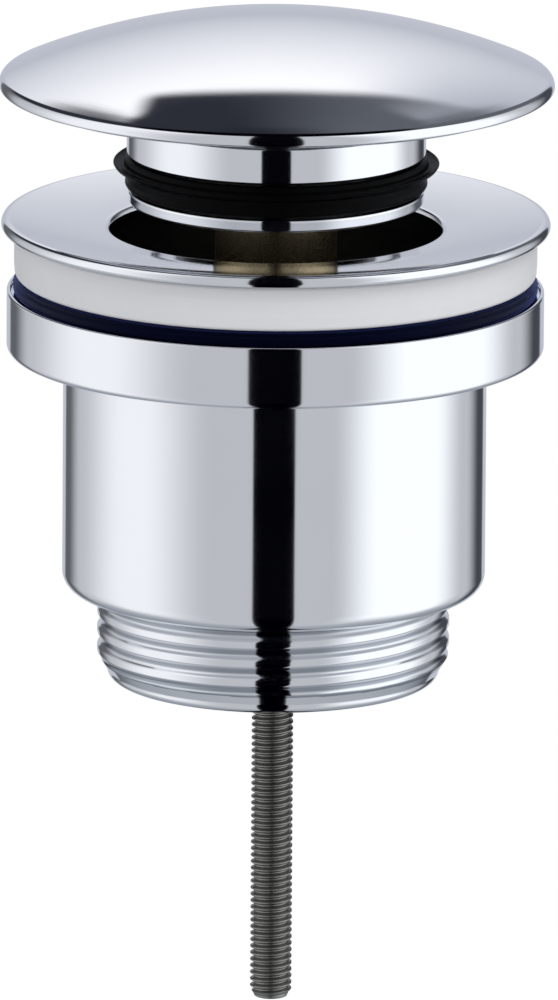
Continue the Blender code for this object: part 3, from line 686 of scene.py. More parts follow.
def make_cartridge_cap():
    """The sleeve's upper end: guide pin for the spring, tenon, plate and the stud that carries the plug."""
    outer = reach("cartridge_sleeve")[0]
    low, high = reach("cartridge_cap")[1:]
    tenon_r = outer - CAP_TENON_STEP
    sleeve_top = reach("cartridge_sleeve")[2]
    cap_z = sleeve_top + GAP
    tenon_z = sleeve_top - CAP_TENON
    corners = [
        (0, high, 0),
        (STUD_R - GAP, high, FULL),
        (STUD_R - GAP, cap_z + CAP_PLATE, FINE),
        (outer, cap_z + CAP_PLATE, ROUND),
        (outer, cap_z, SOFT),
        (tenon_r, cap_z, 0),
        (tenon_r, tenon_z, ROUND),
        (GUIDE_PIN_R, tenon_z, FINE),
        (GUIDE_PIN_R, low, FULL),
        (0, low, 0),
    ]
    mesh = turned("cap", corners, SMALL_COLUMNS, closed=False)
    present(mesh, "cartridge_cap", "brass")


def make_cartridge_stem():
    """The fixed post: its bore for the spring, the clip's groove, the journal, the hexagon and the tenon."""
    low, high = reach("cartridge_stem")[1:]
    clip_low, clip_high = reach("latch_clip")[1:]
    shoulder_z = reach("latch_ring")[1] - GAP
    nut_low = reach("stem_washer")[2] + GAP
    nut_top = nut_low + STEM_NUT
    upper = [
        (0, nut_top + FULL, 0),
        (STEM_BORE, nut_top + FULL, FINE),
        (STEM_BORE, high, FINE),
        (STEM_JOURNAL, high, FINE),
        (STEM_JOURNAL, clip_high + RUNNING, 0),
        (STEM_GROOVE, clip_high + RUNNING, 0),
        (STEM_GROOVE, clip_low - RUNNING, 0),
        (STEM_JOURNAL, clip_low - RUNNING, 0),
        (STEM_JOURNAL, shoulder_z, 0),
        (STEM_POST, shoulder_z, FINE),
        (STEM_POST, nut_top, 0),
    ]
    lower = [(STEM_TENON, nut_low, 0), (STEM_TENON, low, FULL), (0, low, 0)]
    hexagon = hexagon_rows(STEM_FLATS, nut_low, nut_top, SMALL_COLUMNS, HEXAGON_SLOPE)
    rows = stacked(open_rows(upper, SMALL_COLUMNS), hexagon, open_rows(lower, SMALL_COLUMNS))
    present(turned_mesh("stem", rows, False), "cartridge_stem", "brass")


def make_lock_nut():
    """The thin nut on the cartridge's stud: a hexagon outside and a chamfered bore."""
    low, high = reach("lock_nut")[1:]
    hexagon = hexagon_rows(NUT_FLATS, low, high, SMALL_COLUMNS, HEXAGON_SLOPE)
    bore = open_rows([(STUD_R, low, 0), (STUD_R, high, 0)], SMALL_COLUMNS)
    present(turned_mesh("nut", stacked(hexagon, bore)), "lock_nut", "brass")


def make_small_rings():
    """The stop ring, the stem's washer, the bolt's washer and the threaded bush."""
    rings = (
        ("stop_ring", STEM_POST + RUNNING, "brass"),
        ("stem_washer", STEM_TENON + GAP, "acetal"),
        ("bolt_washer", BOLT_HOLE, "steel"),
    )
    for node, bore, finish in rings:
        outer, low, high = reach(node)
        corners = [(bore, high, FINE), (outer, high, SOFT), (outer, low, SOFT), (bore, low, FINE)]
        present(turned(node, corners, SMALL_COLUMNS), node, finish)
    outer, low, high = reach("bolt_bush")
    body_r = outer - BUSH_FLANGE
    flange_z = low + BUSH_FLANGE_HEIGHT
    corners = [
        (BOLT_HOLE, high, ROUND),
        (body_r, high, ROUND),
        (body_r, flange_z, FINE),
        (outer, flange_z, SOFT),
        (outer, low, ROUND),
        (BOLT_HOLE, low, ROUND),
    ]
    present(turned("bush", corners, SMALL_COLUMNS), "bolt_bush", "brass")


def make_spring():
    """The coil spring: a round wire carried along a helix whose end turns lie close.

    At turn t the wire's centre is at angle 2 pi t and at the height summed from the close and the open pitch.
    Each ring of the wire stands across the helix, and the rings at both ends shrink to a point.
    """
    radius = reach("cartridge_spring")[0] - WIRE_R
    low, high = reach("cartridge_spring")[1:]
    steps = SPRING_TURNS * STEPS_PER_TURN
    turns = np.linspace(0, SPRING_TURNS, steps + 1)
    opened = np.clip(turns - 1, 0, SPRING_TURNS - 2)
    open_pitch = (high - low - 2 * WIRE_R - 2 * END_PITCH) / (SPRING_TURNS - 2)
    heights = low + WIRE_R + opened * open_pitch + (turns - opened) * END_PITCH
    turns = np.concatenate([turns[:1], turns, turns[-1:]])
    heights = np.concatenate([heights[:1], heights, heights[-1:]])
    thick = np.full(len(turns), WIRE_R)
    thick[[0, -1]] = 0
    round_wire = np.linspace(0, 2 * pi, WIRE_SIDES + 1)
    out = radius + thick[:, None] * np.cos(round_wire)
    up = heights[:, None] - thick[:, None] * np.sin(round_wire)
    angle = 2 * pi * turns[:, None]
    places = np.stack([out * np.cos(angle), out * np.sin(angle), up], -1)
    spring = present(grid_mesh("spring", places, False), "cartridge_spring", "spring")
    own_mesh(spring)


def make_basin_flange():
    """Dished flange, spigot, spider and hub; the openings of the spider are cut through."""
    rim_r, spigot_z, rim_z = reach("basin_flange")
    throat_r, spigot_r = spigot_sizes()
    hub_r = reach("stem_washer")[0]
    hub_top = reach("stem_washer")[1] - GAP
    hub_bore = hub_r - HUB_WALL
    seat_z = reach("bolt_washer")[1] - GAP
    hole_z = rim_z - DISH_DEPTH
    corners = [
        (throat_r, hole_z, HOLE_EDGE),
        *dish(throat_r, rim_r, hole_z, rim_z, FLANGE_SAG, FLANGE_ROWS)[2:-1],
        (rim_r - FINE / 2, rim_z, FLANGE_EDGE),
        (rim_r, FLANGE_FOOT, FLANGE_FOOT),
        (rim_r - SOFT, 0, SOFT),
        (spigot_r, 0, SOFT),
        (spigot_r, spigot_z, FULL),
        (BOLT_HOLE, spigot_z, SOFT),
        (BOLT_HOLE, seat_z, 0),
        (hub_bore, seat_z, SOFT),
        (hub_bore, hub_top, SOFT),
        (hub_r, hub_top, ROUND),
        (hub_r, spigot_z + WEB, FULL),
        (throat_r, spigot_z + WEB, FULL),
    ]
    cutters = window_cutters(
        hub_r + WINDOW_LEDGE,
        throat_r - WINDOW_LEDGE,
        spigot_z - OVERCUT,
        spigot_z + WEB + OVERCUT,
        WINDOW_CORNER,
    )
    mesh = cut(turned("flange", corners), cutters)
    # the throat below its bright band: dull plating, painted dark as shade
    mark_inside(mesh, throat_r, hole_z - HOLE_LIT, spigot_z)
    present(mesh, "basin_flange", "chrome")


def read(mesh, what):
    """The places or the normals of a mesh's points, as rows of three."""
    values = np.zeros(len(mesh.vertices) * 3)
    mesh.vertices.foreach_get(what, values)
    return values.reshape(-1, 3)


def mark_inside(mesh, radius, below, above):
    """Writes an attribute that is 1 inside a radius and between two heights, where the plating is dull and
    painted dark as shade.
    """
    x, y, z = read(mesh, "co").T
    inside = (np.hypot(x, y) < radius + FINE) & (z < below) & (z > above)
    marks = mesh.attributes.get("dull_and_shaded") or mesh.attributes.new("dull_and_shaded", "FLOAT", "POINT")
    values = np.zeros(len(x), np.float32)
    marks.data.foreach_get("value", values)
    marks.data.foreach_set("value", np.maximum(values, inside).astype(np.float32))


def mark_root_shade(mesh, crest_r, depth, below):
    """Writes a thread's painted root shade: the share of the depth, less where it faces up."""
    x, y, z = read(mesh, "co").T
    radii = np.hypot(x, y)
    upward = np.clip(1 - ROOT_UPWARD * read(mesh, "normal")[:, 2], 0, 1)
    sunk = np.clip((crest_r - radii) / depth, 0, 1) * upward
    outside = (radii > crest_r - 1.1 * depth) & (z < below)
    # the attribute thin holds painted shade, deepest in a root and where its side faces down
    marks = mesh.attributes.new("thin", "FLOAT", "POINT")
    marks.data.foreach_set("value", (outside * sunk).astype(np.float32))


def make_gasket():
    """The white gasket: a thick ring with soft edges, its outside slightly barrelled by the flange's load."""
    outer, low, high = reach("flange_gasket")
    bore = spigot_sizes()[1] + GAP
    middle = (low + high) / 2
    corners = [
        (bore, high, ROUND),
        (outer - GASKET_SWELL, high, FULL),
        (outer, middle + GASKET_BELLY, GASKET_BELLY),
        (outer, middle - GASKET_BELLY, GASKET_BELLY),
        (outer - GASKET_SWELL, low, FULL),
        (bore, low, ROUND),
    ]
    present(turned("gasket", corners), "flange_gasket", "gasket")


def make_under_basin_seal():
    """The navy seal: a ring seated in the collar, round outside, with a narrow raised bead along its top."""
    outer, low, high = reach("under_basin_seal")
    bore = spigot_sizes()[1] + NAVY_PLAY
    bead_z = high - NAVY_BEAD
    corners = [
        (bore, high, ROUND),
        (outer - NAVY_BEAD_STEP, high, SOFT),
        (outer - NAVY_BEAD_STEP, bead_z, FINE),
        (outer, bead_z - FINE, ROUND),
        (outer, low, FULL),
        (bore, low, ROUND),
    ]
    present(turned("under_seal", corners), "under_basin_seal", "navy")


def make_clamp_bolt():
    """The long bolt: slotted head, washer face, and a rolled thread all the way down to its rounded tip."""
    threads = bpy.context.scene.waste_threads
    head_r, low, high = reach("clamp_bolt")
    head_z = high - HEAD_HEIGHT
    neck_z = head_z - SHANK
    root_r = threads.bolt_radius - threads.bolt_depth
    upper = [
        (0, high, 0),
        (head_r, high, HEAD_EDGE),
        (head_r, head_z, SOFT),
        (threads.bolt_radius, head_z, FINE),
        (threads.bolt_radius, neck_z, 0),
    ]
    rolled = thread_rows(
        neck_z,
        low + TIP,
        threads.bolt_radius,
        threads.bolt_depth,
        threads.bolt_pitch,
        BOLT_COLUMNS,
        BOLT_ROWS_PER_PITCH,
        BOLT_FLATS,
        threads.bolt_pitch,
        (threads.bolt_depth / TIP_SLOPE, threads.bolt_depth),
    )
    tip = open_rows([(root_r, low + TIP, 0), (root_r, low, TIP), (0, low, 0)], BOLT_COLUMNS)
    rows = stacked(open_rows(upper, BOLT_COLUMNS), rolled, less(tip, 1, 0))
    mesh = turned_mesh("bolt", rows, closed=False)
    slot_height = BOLT_SLOT_DEPTH + OVERCUT
    shape = Matrix.Diagonal((2 * (head_r + OVERCUT), BOLT_SLOT_WIDTH, slot_height, 1))
    slot_mesh = bpy.data.meshes.new("slot")
    box = bmesh.new()
    bmesh.ops.create_cube(box, size=1, matrix=shape)
    bmesh.ops.translate(box, verts=box.verts, vec=(0, 0, high + OVERCUT - slot_height / 2))
    box.to_mesh(slot_mesh)
    box.free()
    mesh = cut(mesh, [bpy.data.objects.new("slot", slot_mesh)])
    present(mesh, "clamp_bolt", "steel")


def make_tail_body():
    """Collar, barrel and pipe thread in one piece, with the spider whose hub takes the bolt's bush."""
    threads = bpy.context.scene.waste_threads
    collar_r, tail_z, collar_top = reach("tail_body")
    bore_r = spigot_sizes()[1] + BARREL_PLAY
    barrel_r = bore_r + BARREL_WALL
    seat_z = collar_top - COLLAR_LIP_HEIGHT
    collar_z = collar_top - COLLAR_HEIGHT
    hub_top = reach("bolt_bush")[2]
    hub_z = hub_top - TAIL_HUB_HEIGHT
    barrel_z = hub_top - TAIL_HUB_DROP
    relief_r = TAIL_R - threads.tail_depth
    tail_bore = TAIL_R - TAIL_WALL
    hub_bore = reach("bolt_bush")[0] - BUSH_FLANGE + GAP
    hub_r = hub_bore + HUB_RIM
    web_top = hub_top - (TAIL_HUB_HEIGHT - WEB) / 2
    web_z = web_top - WEB
    funnel_z = web_top + FUNNEL_STEP
    upper = [
        (bore_r, funnel_z + FUNNEL_DEPTH, 0),
        (bore_r, seat_z, ROUND),
        (collar_r - COLLAR_LIP, seat_z, FINE),
        (collar_r - COLLAR_LIP, collar_top, FINE),
        (collar_r, collar_top, ROUND),
        (collar_r, collar_z, COLLAR_EDGE),
        (barrel_r, collar_z, ROUND),
        (barrel_r, barrel_z, BARREL_EDGE),
        (relief_r, barrel_z, FINE),
        (relief_r, barrel_z - THREAD_START, 0),
    ]
    thread = thread_rows(
        barrel_z - THREAD_START,
        tail_z + TAIL_FOOT,
        TAIL_R,
        threads.tail_depth,
        threads.tail_pitch,
        BIG_COLUMNS,
        TAIL_ROWS_PER_PITCH,
        TAIL_FLATS,
        THREAD_FADE,
        (TAIL_LEAD, TAIL_LEAD_DEPTH),
    )
    lower = [
        (TAIL_R - TAIL_LEAD_DEPTH, tail_z + TAIL_FOOT + FINE, 0),
        (TAIL_R - TAIL_LEAD_DEPTH, tail_z, TAIL_FOOT),
        (tail_bore, tail_z, SOFT),
        (tail_bore, web_z, FULL),
        (hub_r, web_z, FULL),
        (hub_r, hub_z, ROUND),
        (hub_bore, hub_z, 0),
        (hub_bore, hub_top, 0),
        (hub_r, hub_top, ROUND),
        (hub_r, web_top, FULL),
        (tail_bore, web_top, 0),
        (tail_bore, funnel_z, 0),
        (bore_r, funnel_z + FUNNEL_DEPTH, 0),
    ]
    rows = stacked(open_rows(upper), thread, less(open_rows(lower), 1, 1))
    cutters = window_cutters(
        hub_r + WINDOW_LEDGE,
        tail_bore - WINDOW_LEDGE,
        web_z - OVERCUT,
        web_top + (funnel_z - web_top) / 2,
        WINDOW_CORNER,
    )
    mesh = cut(turned_mesh("tail", rows), cutters)
    # inside the collar and the bore: dull plating, painted dark as shade
    mark_inside(mesh, bore_r, seat_z - COLLAR_LIP_HEIGHT, funnel_z)
    mark_inside(mesh, tail_bore, funnel_z + FUNNEL_DEPTH, tail_z + COLLAR_LIP_HEIGHT)
    # painted shade in the thread's roots
    mark_root_shade(mesh, TAIL_R, threads.tail_depth, barrel_z - THREAD_START)
    present(mesh, "tail_body", "chrome")


def dress_latch():
    """Gives the latch ring and its clip, which are shown as the CAD has them, their finishes."""
    coat(frame["nodes"]["latch_ring"].data, "acetal")
    coat(frame["nodes"]["latch_clip"].data, "spring")


# Finishes

ROOT_SHADE_COLOUR = (0.31, 0.335, 0.38)  # painted shade: a darker grey-blue down in a thread's roots and on their downward sides
DULL_SHADED_PLATING = ((0.16, 0.125, 0.085), (0.24, 0.19, 0.13))  # inside: dull plating over brown brass, darkened as painted shade of the hollow
DULL_ROUGHNESS = 0.38
BLOOM_ROUGHNESS = 0.045
SHEEN_ROUGHNESS = 0.3


def fill(tree, node, values):
    """Sets each of these inputs to its value, or links it from another node's output."""
    for key, value in values.items():
        if isinstance(value, bpy.types.NodeSocket):
            tree.links.new(value, node.inputs[key])
        else:
            node.inputs[key].default_value = value


def add(tree, kind, values=None, **settings):
    """A new node with its settings and its inputs."""
    made = tree.nodes.new(kind)
    for key, value in settings.items():
        setattr(made, key, value)
    fill(tree, made, values or {})
    return made


def new_finish(name):
    """The nodes of a new material, and its shader."""
    material = bpy.data.materials.new(name)
    material.use_nodes = True
    return material.node_tree, material.node_tree.nodes["Principled BSDF"]


def figure(tree, operation, first, second=0.0):
    """One step of arithmetic."""
    return add(tree, "ShaderNodeMath", {0: first, 1: second}, operation=operation).outputs[0]


def times(tree, first, second):
    """The product of two values."""
    return figure(tree, "MULTIPLY", first, second)


def mapped(tree, value, low, high):
    """A value from 0 to 1 spread over a range."""
    return add(tree, "ShaderNodeMapRange", {"Value": value, "To Min": low, "To Max": high}).outputs["Result"]


def noise(tree, vector, scale, detail=2.0, roughness=0.5):
    """Smooth noise of features one over the scale wide, in metres."""
    values = {"Vector": vector, "Scale": scale, "Detail": detail, "Roughness": roughness}
    return add(tree, "ShaderNodeTexNoise", values).outputs["Fac"]


def place_of(tree):
    """Where a point is on the piece."""
    return add(tree, "ShaderNodeTexCoord").outputs["Object"]


def mark_of(tree, name):
    """The value of an attribute that the piece carries, or 0."""
    return add(tree, "ShaderNodeAttribute", attribute_name=name).outputs["Fac"]


def lathe_place(tree, place, around):
    """A point's radius, its angle about the axis times a factor, and its height, for marks of turning."""
    split = add(tree, "ShaderNodeSeparateXYZ", {"Vector": place})
    x, y, z = (split.outputs[axis] for axis in "XYZ")
    flat = add(tree, "ShaderNodeCombineXYZ", {"X": x, "Y": y}).outputs[0]
    radius = add(tree, "ShaderNodeVectorMath", {0: flat}, operation="LENGTH").outputs["Value"]
    angle = times(tree, figure(tree, "ARCTAN2", y, x), around)
    return add(tree, "ShaderNodeCombineXYZ", {"X": radius, "Y": angle, "Z": z}).outputs[0]


def bumped(tree, height, distance, **under):
    """A bump whose height is given in metres, alone or on another one, given as Normal."""
    values = {"Height": height, "Distance": distance, **under}
    return add(tree, "ShaderNodeBump", values).outputs["Normal"]


def blended(tree, factor, first, second):
    """A colour between two, each of them a colour or a node's output."""
    ends = [end if isinstance(end, bpy.types.NodeSocket) else (*end, 1) for end in (first, second)]
    values = {"Factor": factor, 6: ends[0], 7: ends[1]}
    return add(tree, "ShaderNodeMix", values, data_type="RGBA").outputs[2]


def mottled(tree, pattern, shade, colour):
    """A colour and its shade, mixed by a pattern."""
    return blended(tree, pattern, [shade * c for c in colour], colour)


def chrome_finish(colour, roughness):
    """Polished plating: a faint bloom, faint rings left by the polishing, and slightly wavy metal under it.

    It carries painted shade, a darker grey-blue, where the piece carries the mark of a thread's root, and
    where it carries the mark of the inside it is dull brown plating, painted dark as the shade of the hollow.
    """
    tree, shader = new_finish("polished_chrome")
    place = place_of(tree)
    bloom = noise(tree, place, scale=90, detail=3)
    rings = noise(tree, lathe_place(tree, place, around=0.002), scale=5200)
    wave = noise(tree, place, scale=55, detail=1)
    # inside: dull brown plating, darkened as painted shade of the hollow
    inside = mark_of(tree, "dull_and_shaded")
    # in the thread's roots: painted shade, a darker grey-blue
    plated_with_root_shade = blended(tree, mark_of(tree, "thin"), mottled(tree, bloom, 0.965, colour), ROOT_SHADE_COLOUR)
    polished = mapped(tree, bloom, roughness, roughness + BLOOM_ROUGHNESS)
    wavy = bumped(tree, wave, 0.02 * MM)
    values = {
        "Base Color": blended(tree, inside, plated_with_root_shade, blended(tree, bloom, *DULL_SHADED_PLATING)),
        "Metallic": 1,
        "Roughness": figure(tree, "ADD", polished, times(tree, inside, DULL_ROUGHNESS)),
        "Normal": bumped(tree, rings, 0.0006 * MM, Normal=wavy),
    }
    fill(tree, shader, values)


def brass_finish(colour):
    """Turned brass, left as it came off the lathe: fine rings and brown patches of tarnish."""
    tree, shader = new_finish("turned_brass")
    place = place_of(tree)
    tarnish = noise(tree, place, scale=260)
    rings = noise(tree, lathe_place(tree, place, around=0.004), scale=7000)
    values = {
        "Base Color": mottled(tree, tarnish, 0.88, colour),
        "Metallic": 1,
        "Roughness": mapped(tree, rings, 0.2, 0.36),
        "Normal": bumped(tree, rings, 0.0005 * MM),
    }
    fill(tree, shader, values)


def steel_finish(name, colour, roughness, marks):
    """Plated or drawn steel: fine grain, and darker patches."""
    tree, shader = new_finish(name)
    place = place_of(tree)
    patches = noise(tree, place, scale=900, detail=3, roughness=0.6)
    grain = noise(tree, place, scale=6500, detail=3, roughness=0.6)
    values = {
        "Base Color": mottled(tree, patches, 0.7, colour),
        "Metallic": 1,
        "Roughness": mapped(tree, grain, roughness - 0.08, roughness + 0.1),
        "Normal": bumped(tree, grain, marks),
    }
    fill(tree, shader, values)


def rubber_finish(name, colour, roughness, shade, gloss, bloom, tint):
    """Moulded rubber: a skin with a fine matt grain, flow marks round the ring, and a bloom seen edge-on."""
    tree, shader = new_finish(name)
    place = place_of(tree)
    cloud = noise(tree, place, scale=320, detail=3)
    skin = bumped(tree, noise(tree, place, scale=9000), 0.004 * MM)
    flow = noise(tree, lathe_place(tree, place, around=0.01), scale=1500)
    values = {
        "Base Color": mottled(tree, cloud, shade, colour),
        "Roughness": mapped(tree, flow, roughness - 0.06, roughness + 0.1),
        "Normal": bumped(tree, flow, 0.006 * MM, Normal=skin),
        "Specular IOR Level": gloss,
        "Specular Tint": (*tint, 1),
        "Sheen Weight": bloom,
        "Sheen Roughness": SHEEN_ROUGHNESS,
        "Sheen Tint": (*tint, 1),
    }
    fill(tree, shader, values)


def acetal_finish(colour):
    """Moulded acetal: waxy, faintly cloudy, with a soft gloss."""
    tree, shader = new_finish("moulded_acetal")
    place = place_of(tree)
    cloud = noise(tree, place, scale=500, detail=3)
    values = {
        "Base Color": mottled(tree, cloud, 0.93, colour),
        "Roughness": mapped(tree, cloud, 0.38, 0.5),
        "Normal": bumped(tree, noise(tree, place, scale=4000), 0.004 * MM),
    }
    fill(tree, shader, values)


def make_finishes(settings):
    """Makes every finish, unless they are there already."""
    if "polished_chrome" in bpy.data.materials:
        return
    chrome_finish(settings.chrome, settings.chrome_roughness)
    brass_finish(settings.brass)
    steel_finish("rolled_zinc_steel", settings.steel, 0.36, 0.004 * MM)
    steel_finish("drawn_spring_steel", settings.spring, 0.26, 0.002 * MM)
    rubber_finish("white_gasket_rubber", settings.gasket, 0.42, 0.95, 0.5, 0.0, (1, 1, 1))
    rubber_finish("navy_seal_rubber", settings.navy, 0.4, 0.7, 0.08, 0.6, (0.16, 0.24, 1.0))
    rubber_finish("black_seal_rubber", settings.black, 0.4, 0.7, 0.05, 0.0, (1, 1, 1))
    acetal_finish(settings.acetal)


# Stage

FRAME_WIDTH = 558
FRAME_HEIGHT = 1000
SCALE = 8.41 / MM  # pixels to a metre at the axis
AXIS_X = 274  # where the axis stands in the photograph
MIDDLE_Z = -33.2 * MM  # height that the photograph's middle row shows at the axis
SENSOR = 36.0
CLIP = (0.1, 20)
LAMP_SIZE = 0.9
LAMP_PLACE = (0.45, -0.55, 0.95)
LAMP_AIM = Vector((0, 0, -0.03))
FLOOR_Z = -0.2
FLOOR_R = 0.45
FLOOR_RINGS = (0.0, 0.35, 0.7, 1.0)
FLOOR_COLOUR = (0.88, 0.88, 0.89, 1)
FLOOR_GLOW = 0.25
WHITE = (1, 1, 1, 1)

# The studio that the chrome mirrors. Azimuths go right from the camera's side and heights up from the
# horizon, both in degrees, and the middle of the far side is straight behind.
WALL = (0.465, 0.48, 0.50)
# Two softboxes and two dark corners: azimuth, half width, width of the soft edge, colour
PANELS = (
    (-83, 28, 44, (0.83, 0.845, 0.86)),
    (79, 33, 30, (0.95, 0.98, 1.0)),
    (-154, 13, 20, (0.10, 0.105, 0.115)),
    (152, 13, 20, (0.05, 0.054, 0.064)),
)
LOW_END = (-0.45, -0.95)  # they fade out between these shares of the way down
CEILING_HEIGHT = 58  # the dark ceiling's middle is as high as this, straight behind
CEILING_REACH = 45  # and it reaches this far about its middle
CEILING_EDGE = 3
OPENING_TOP = 60  # up to this height it is less dark
OPENING = (0.022, 0.025, 0.034)
OPENING_RIGHT = (0.10, 0.108, 0.125)  # it brightens to the right between these angles from straight behind
OPENING_RAMP = (-9, 18)
DARK = (0.0, 0.0, 0.001)
SCREEN_HALF = 20  # the pale screen behind: its half width, the width of its soft sides, and its top
SCREEN_SIDE = 4
SCREEN_TOP = 47.7
SCREEN_EDGE = 1.5
EDGE_HEIGHT = 46.8  # its upper right is open: straight behind, down to this height
EDGE_CURVE = 1.35  # and less or more aside, by this times the square of the angle, both in radians
EDGE_LEFT = 17.3  # the gap's left side is this far right at the horizon
EDGE_LEAN = 0.75  # and goes left with the height, by this share of it
EDGE_RIGHT = (26, 12)  # its right side fades out between these angles
EDGE_SOFTNESS = 2
SCREEN_LILAC = (0.425, 0.445, 0.50)
SCREEN_WHITE = (0.95, 0.955, 0.965)
WHITE_AZIMUTH = 186  # the part of the screen that is lit from above
WHITE_HALF = 19
WHITE_EDGE = 14
WHITE_RAMP = (8, 42)
UNDER_HEIGHT = -55  # the darker ground under the object and behind it
UNDER_REACH = (60, 0)
UNDER_EDGE = (-0.42, -0.62)
UNDER = (0.24, 0.265, 0.30)
SLOT_HALF = 0.195  # half width of the black gap in front, with the whole direction as 1
SLOT_OVERHEAD = 0.065  # what is left of it overhead and below
SLOT_SOFTNESS = 0.008
SLOT_END = 0.22  # it runs on overhead as far as this
SLOT_END_EDGE = 0.05
SLOT_UNDER = 0.5  # and this much further under the object
SLOT_TURN = 0.1


def between(tree, value, outside, inside, way="SMOOTHSTEP"):
    """0 up to the outside bound, 1 from the inside one on, and smooth from one to the other."""
    values = {"Value": value, "From Min": outside, "From Max": inside}
    return add(tree, "ShaderNodeMapRange", values, interpolation_type=way).outputs["Result"]


def past(tree, angle, bound, softness):
    """1 past a bound in degrees and 0 before it, or the other way round where the softness is negative."""
    return between(tree, angle, radians(bound - softness), radians(bound + softness))


def across(tree, angle, azimuth, half_width, edge):
    """1 within half a width of an azimuth, all round the circle, and 0 past its soft edge."""
    turned_away = figure(tree, "COSINE", figure(tree, "SUBTRACT", angle, radians(azimuth)))
    return past(tree, figure(tree, "ARCCOSINE", turned_away), half_width, -edge / 2)


def nearness(tree, direction, height):
    """The cosine of the angle between a direction and the place straight behind at that height."""
    aim = (0, cos(radians(height)), sin(radians(height)))
    dot = add(tree, "ShaderNodeVectorMath", {0: direction, 1: aim}, operation="DOT_PRODUCT")
    return dot.outputs["Value"]


def open_upper_right(tree, behind, height):
    """1 where the screen's upper right is open: over a curved edge, from a leaning side to a faint one."""
    fall = times(tree, times(tree, behind, behind), EDGE_CURVE)
    over_edge = past(tree, figure(tree, "ADD", height, fall), EDGE_HEIGHT, EDGE_SOFTNESS)
    leaning = figure(tree, "ADD", behind, times(tree, height, EDGE_LEAN))
    right_of_left = past(tree, leaning, EDGE_LEFT, EDGE_SOFTNESS)
    left_of_right = between(tree, behind, radians(EDGE_RIGHT[0]), radians(EDGE_RIGHT[1]))
    return times(tree, over_edge, times(tree, right_of_left, left_of_right))


def studio_colour(tree):
    """What a mirror sees: walls, softboxes, a dark ceiling, a pale screen, and the black gap in front."""
    direction = add(tree, "ShaderNodeTexCoord").outputs["Generated"]
    split = add(tree, "ShaderNodeSeparateXYZ", {"Vector": direction})
    x, y, z = (split.outputs[axis] for axis in "XYZ")
    azimuth = figure(tree, "ARCTAN2", x, times(tree, y, -1.0))
    behind = figure(tree, "ARCTAN2", x, y)
    height = figure(tree, "ARCSINE", z)

    colour = WALL
    above_end = between(tree, z, LOW_END[1], LOW_END[0])
    for middle, half_width, edge, panel in PANELS:
        share = times(tree, across(tree, azimuth, middle, half_width, edge), above_end)
        colour = blended(tree, share, colour, panel)

    bounds = [cos(radians(CEILING_REACH + edge)) for edge in (CEILING_EDGE, -CEILING_EDGE)]
    overhead = between(tree, nearness(tree, direction, CEILING_HEIGHT), *bounds)
    to_right = between(tree, behind, radians(OPENING_RAMP[0]), radians(OPENING_RAMP[1]))
    opening = blended(tree, to_right, OPENING, OPENING_RIGHT)
    deep = past(tree, height, OPENING_TOP, CEILING_EDGE)
    colour = blended(tree, overhead, colour, blended(tree, deep, opening, DARK))

    whole = times(
        tree,
        across(tree, azimuth, 180, SCREEN_HALF, SCREEN_SIDE),
        past(tree, height, SCREEN_TOP, -SCREEN_EDGE),
    )
    solid = figure(tree, "SUBTRACT", 1.0, open_upper_right(tree, behind, height))
    lift = between(tree, height, radians(WHITE_RAMP[0]), radians(WHITE_RAMP[1]), "LINEAR")
    lit = times(tree, across(tree, azimuth, WHITE_AZIMUTH, WHITE_HALF, WHITE_EDGE), lift)
    screen = blended(tree, lit, SCREEN_LILAC, SCREEN_WHITE)
    colour = blended(tree, times(tree, whole, solid), colour, screen)

    bounds = [cos(radians(angle)) for angle in UNDER_REACH]
    under = between(tree, nearness(tree, direction, UNDER_HEIGHT), *bounds, "LINEAR")
    colour = blended(tree, times(tree, under, between(tree, z, *UNDER_EDGE)), colour, UNDER)

    slot_width = mapped(tree, figure(tree, "COSINE", height), SLOT_OVERHEAD, SLOT_HALF)
    off_slot = figure(tree, "SUBTRACT", figure(tree, "ABSOLUTE", x), slot_width)
    run_on = times(tree, between(tree, z, SLOT_TURN, -SLOT_TURN), SLOT_UNDER)
    along = figure(tree, "SUBTRACT", y, run_on)
    slot = times(
        tree,
        between(tree, off_slot, SLOT_SOFTNESS, -SLOT_SOFTNESS),
        between(tree, along, SLOT_END + SLOT_END_EDGE, SLOT_END - SLOT_END_EDGE),
    )
    return blended(tree, slot, colour, DARK)


def make_world():
    """White to the camera, an even white to matt surfaces, and to mirrors the studio."""
    settings = bpy.context.scene.waste_studio
    world = bpy.data.worlds.new("studio")
    bpy.context.scene.world = world
    world.use_nodes = True
    tree = world.node_tree
    tree.nodes.clear()
    path = add(tree, "ShaderNodeLightPath").outputs
    tent, even, white = (
        add(tree, "ShaderNodeBackground", {"Color": colour, "Strength": strength}).outputs[0]
        for colour, strength in ((studio_colour(tree), settings.tent), (WHITE, settings.fill), (WHITE, 1.0))
    )
    rays = add(tree, "ShaderNodeMixShader", {0: path["Is Glossy Ray"], 1: even, 2: tent})
    seen = add(tree, "ShaderNodeMixShader", {0: path["Is Camera Ray"], 1: rays.outputs[0], 2: white})
    add(tree, "ShaderNodeOutputWorld", {"Surface": seen.outputs[0]})


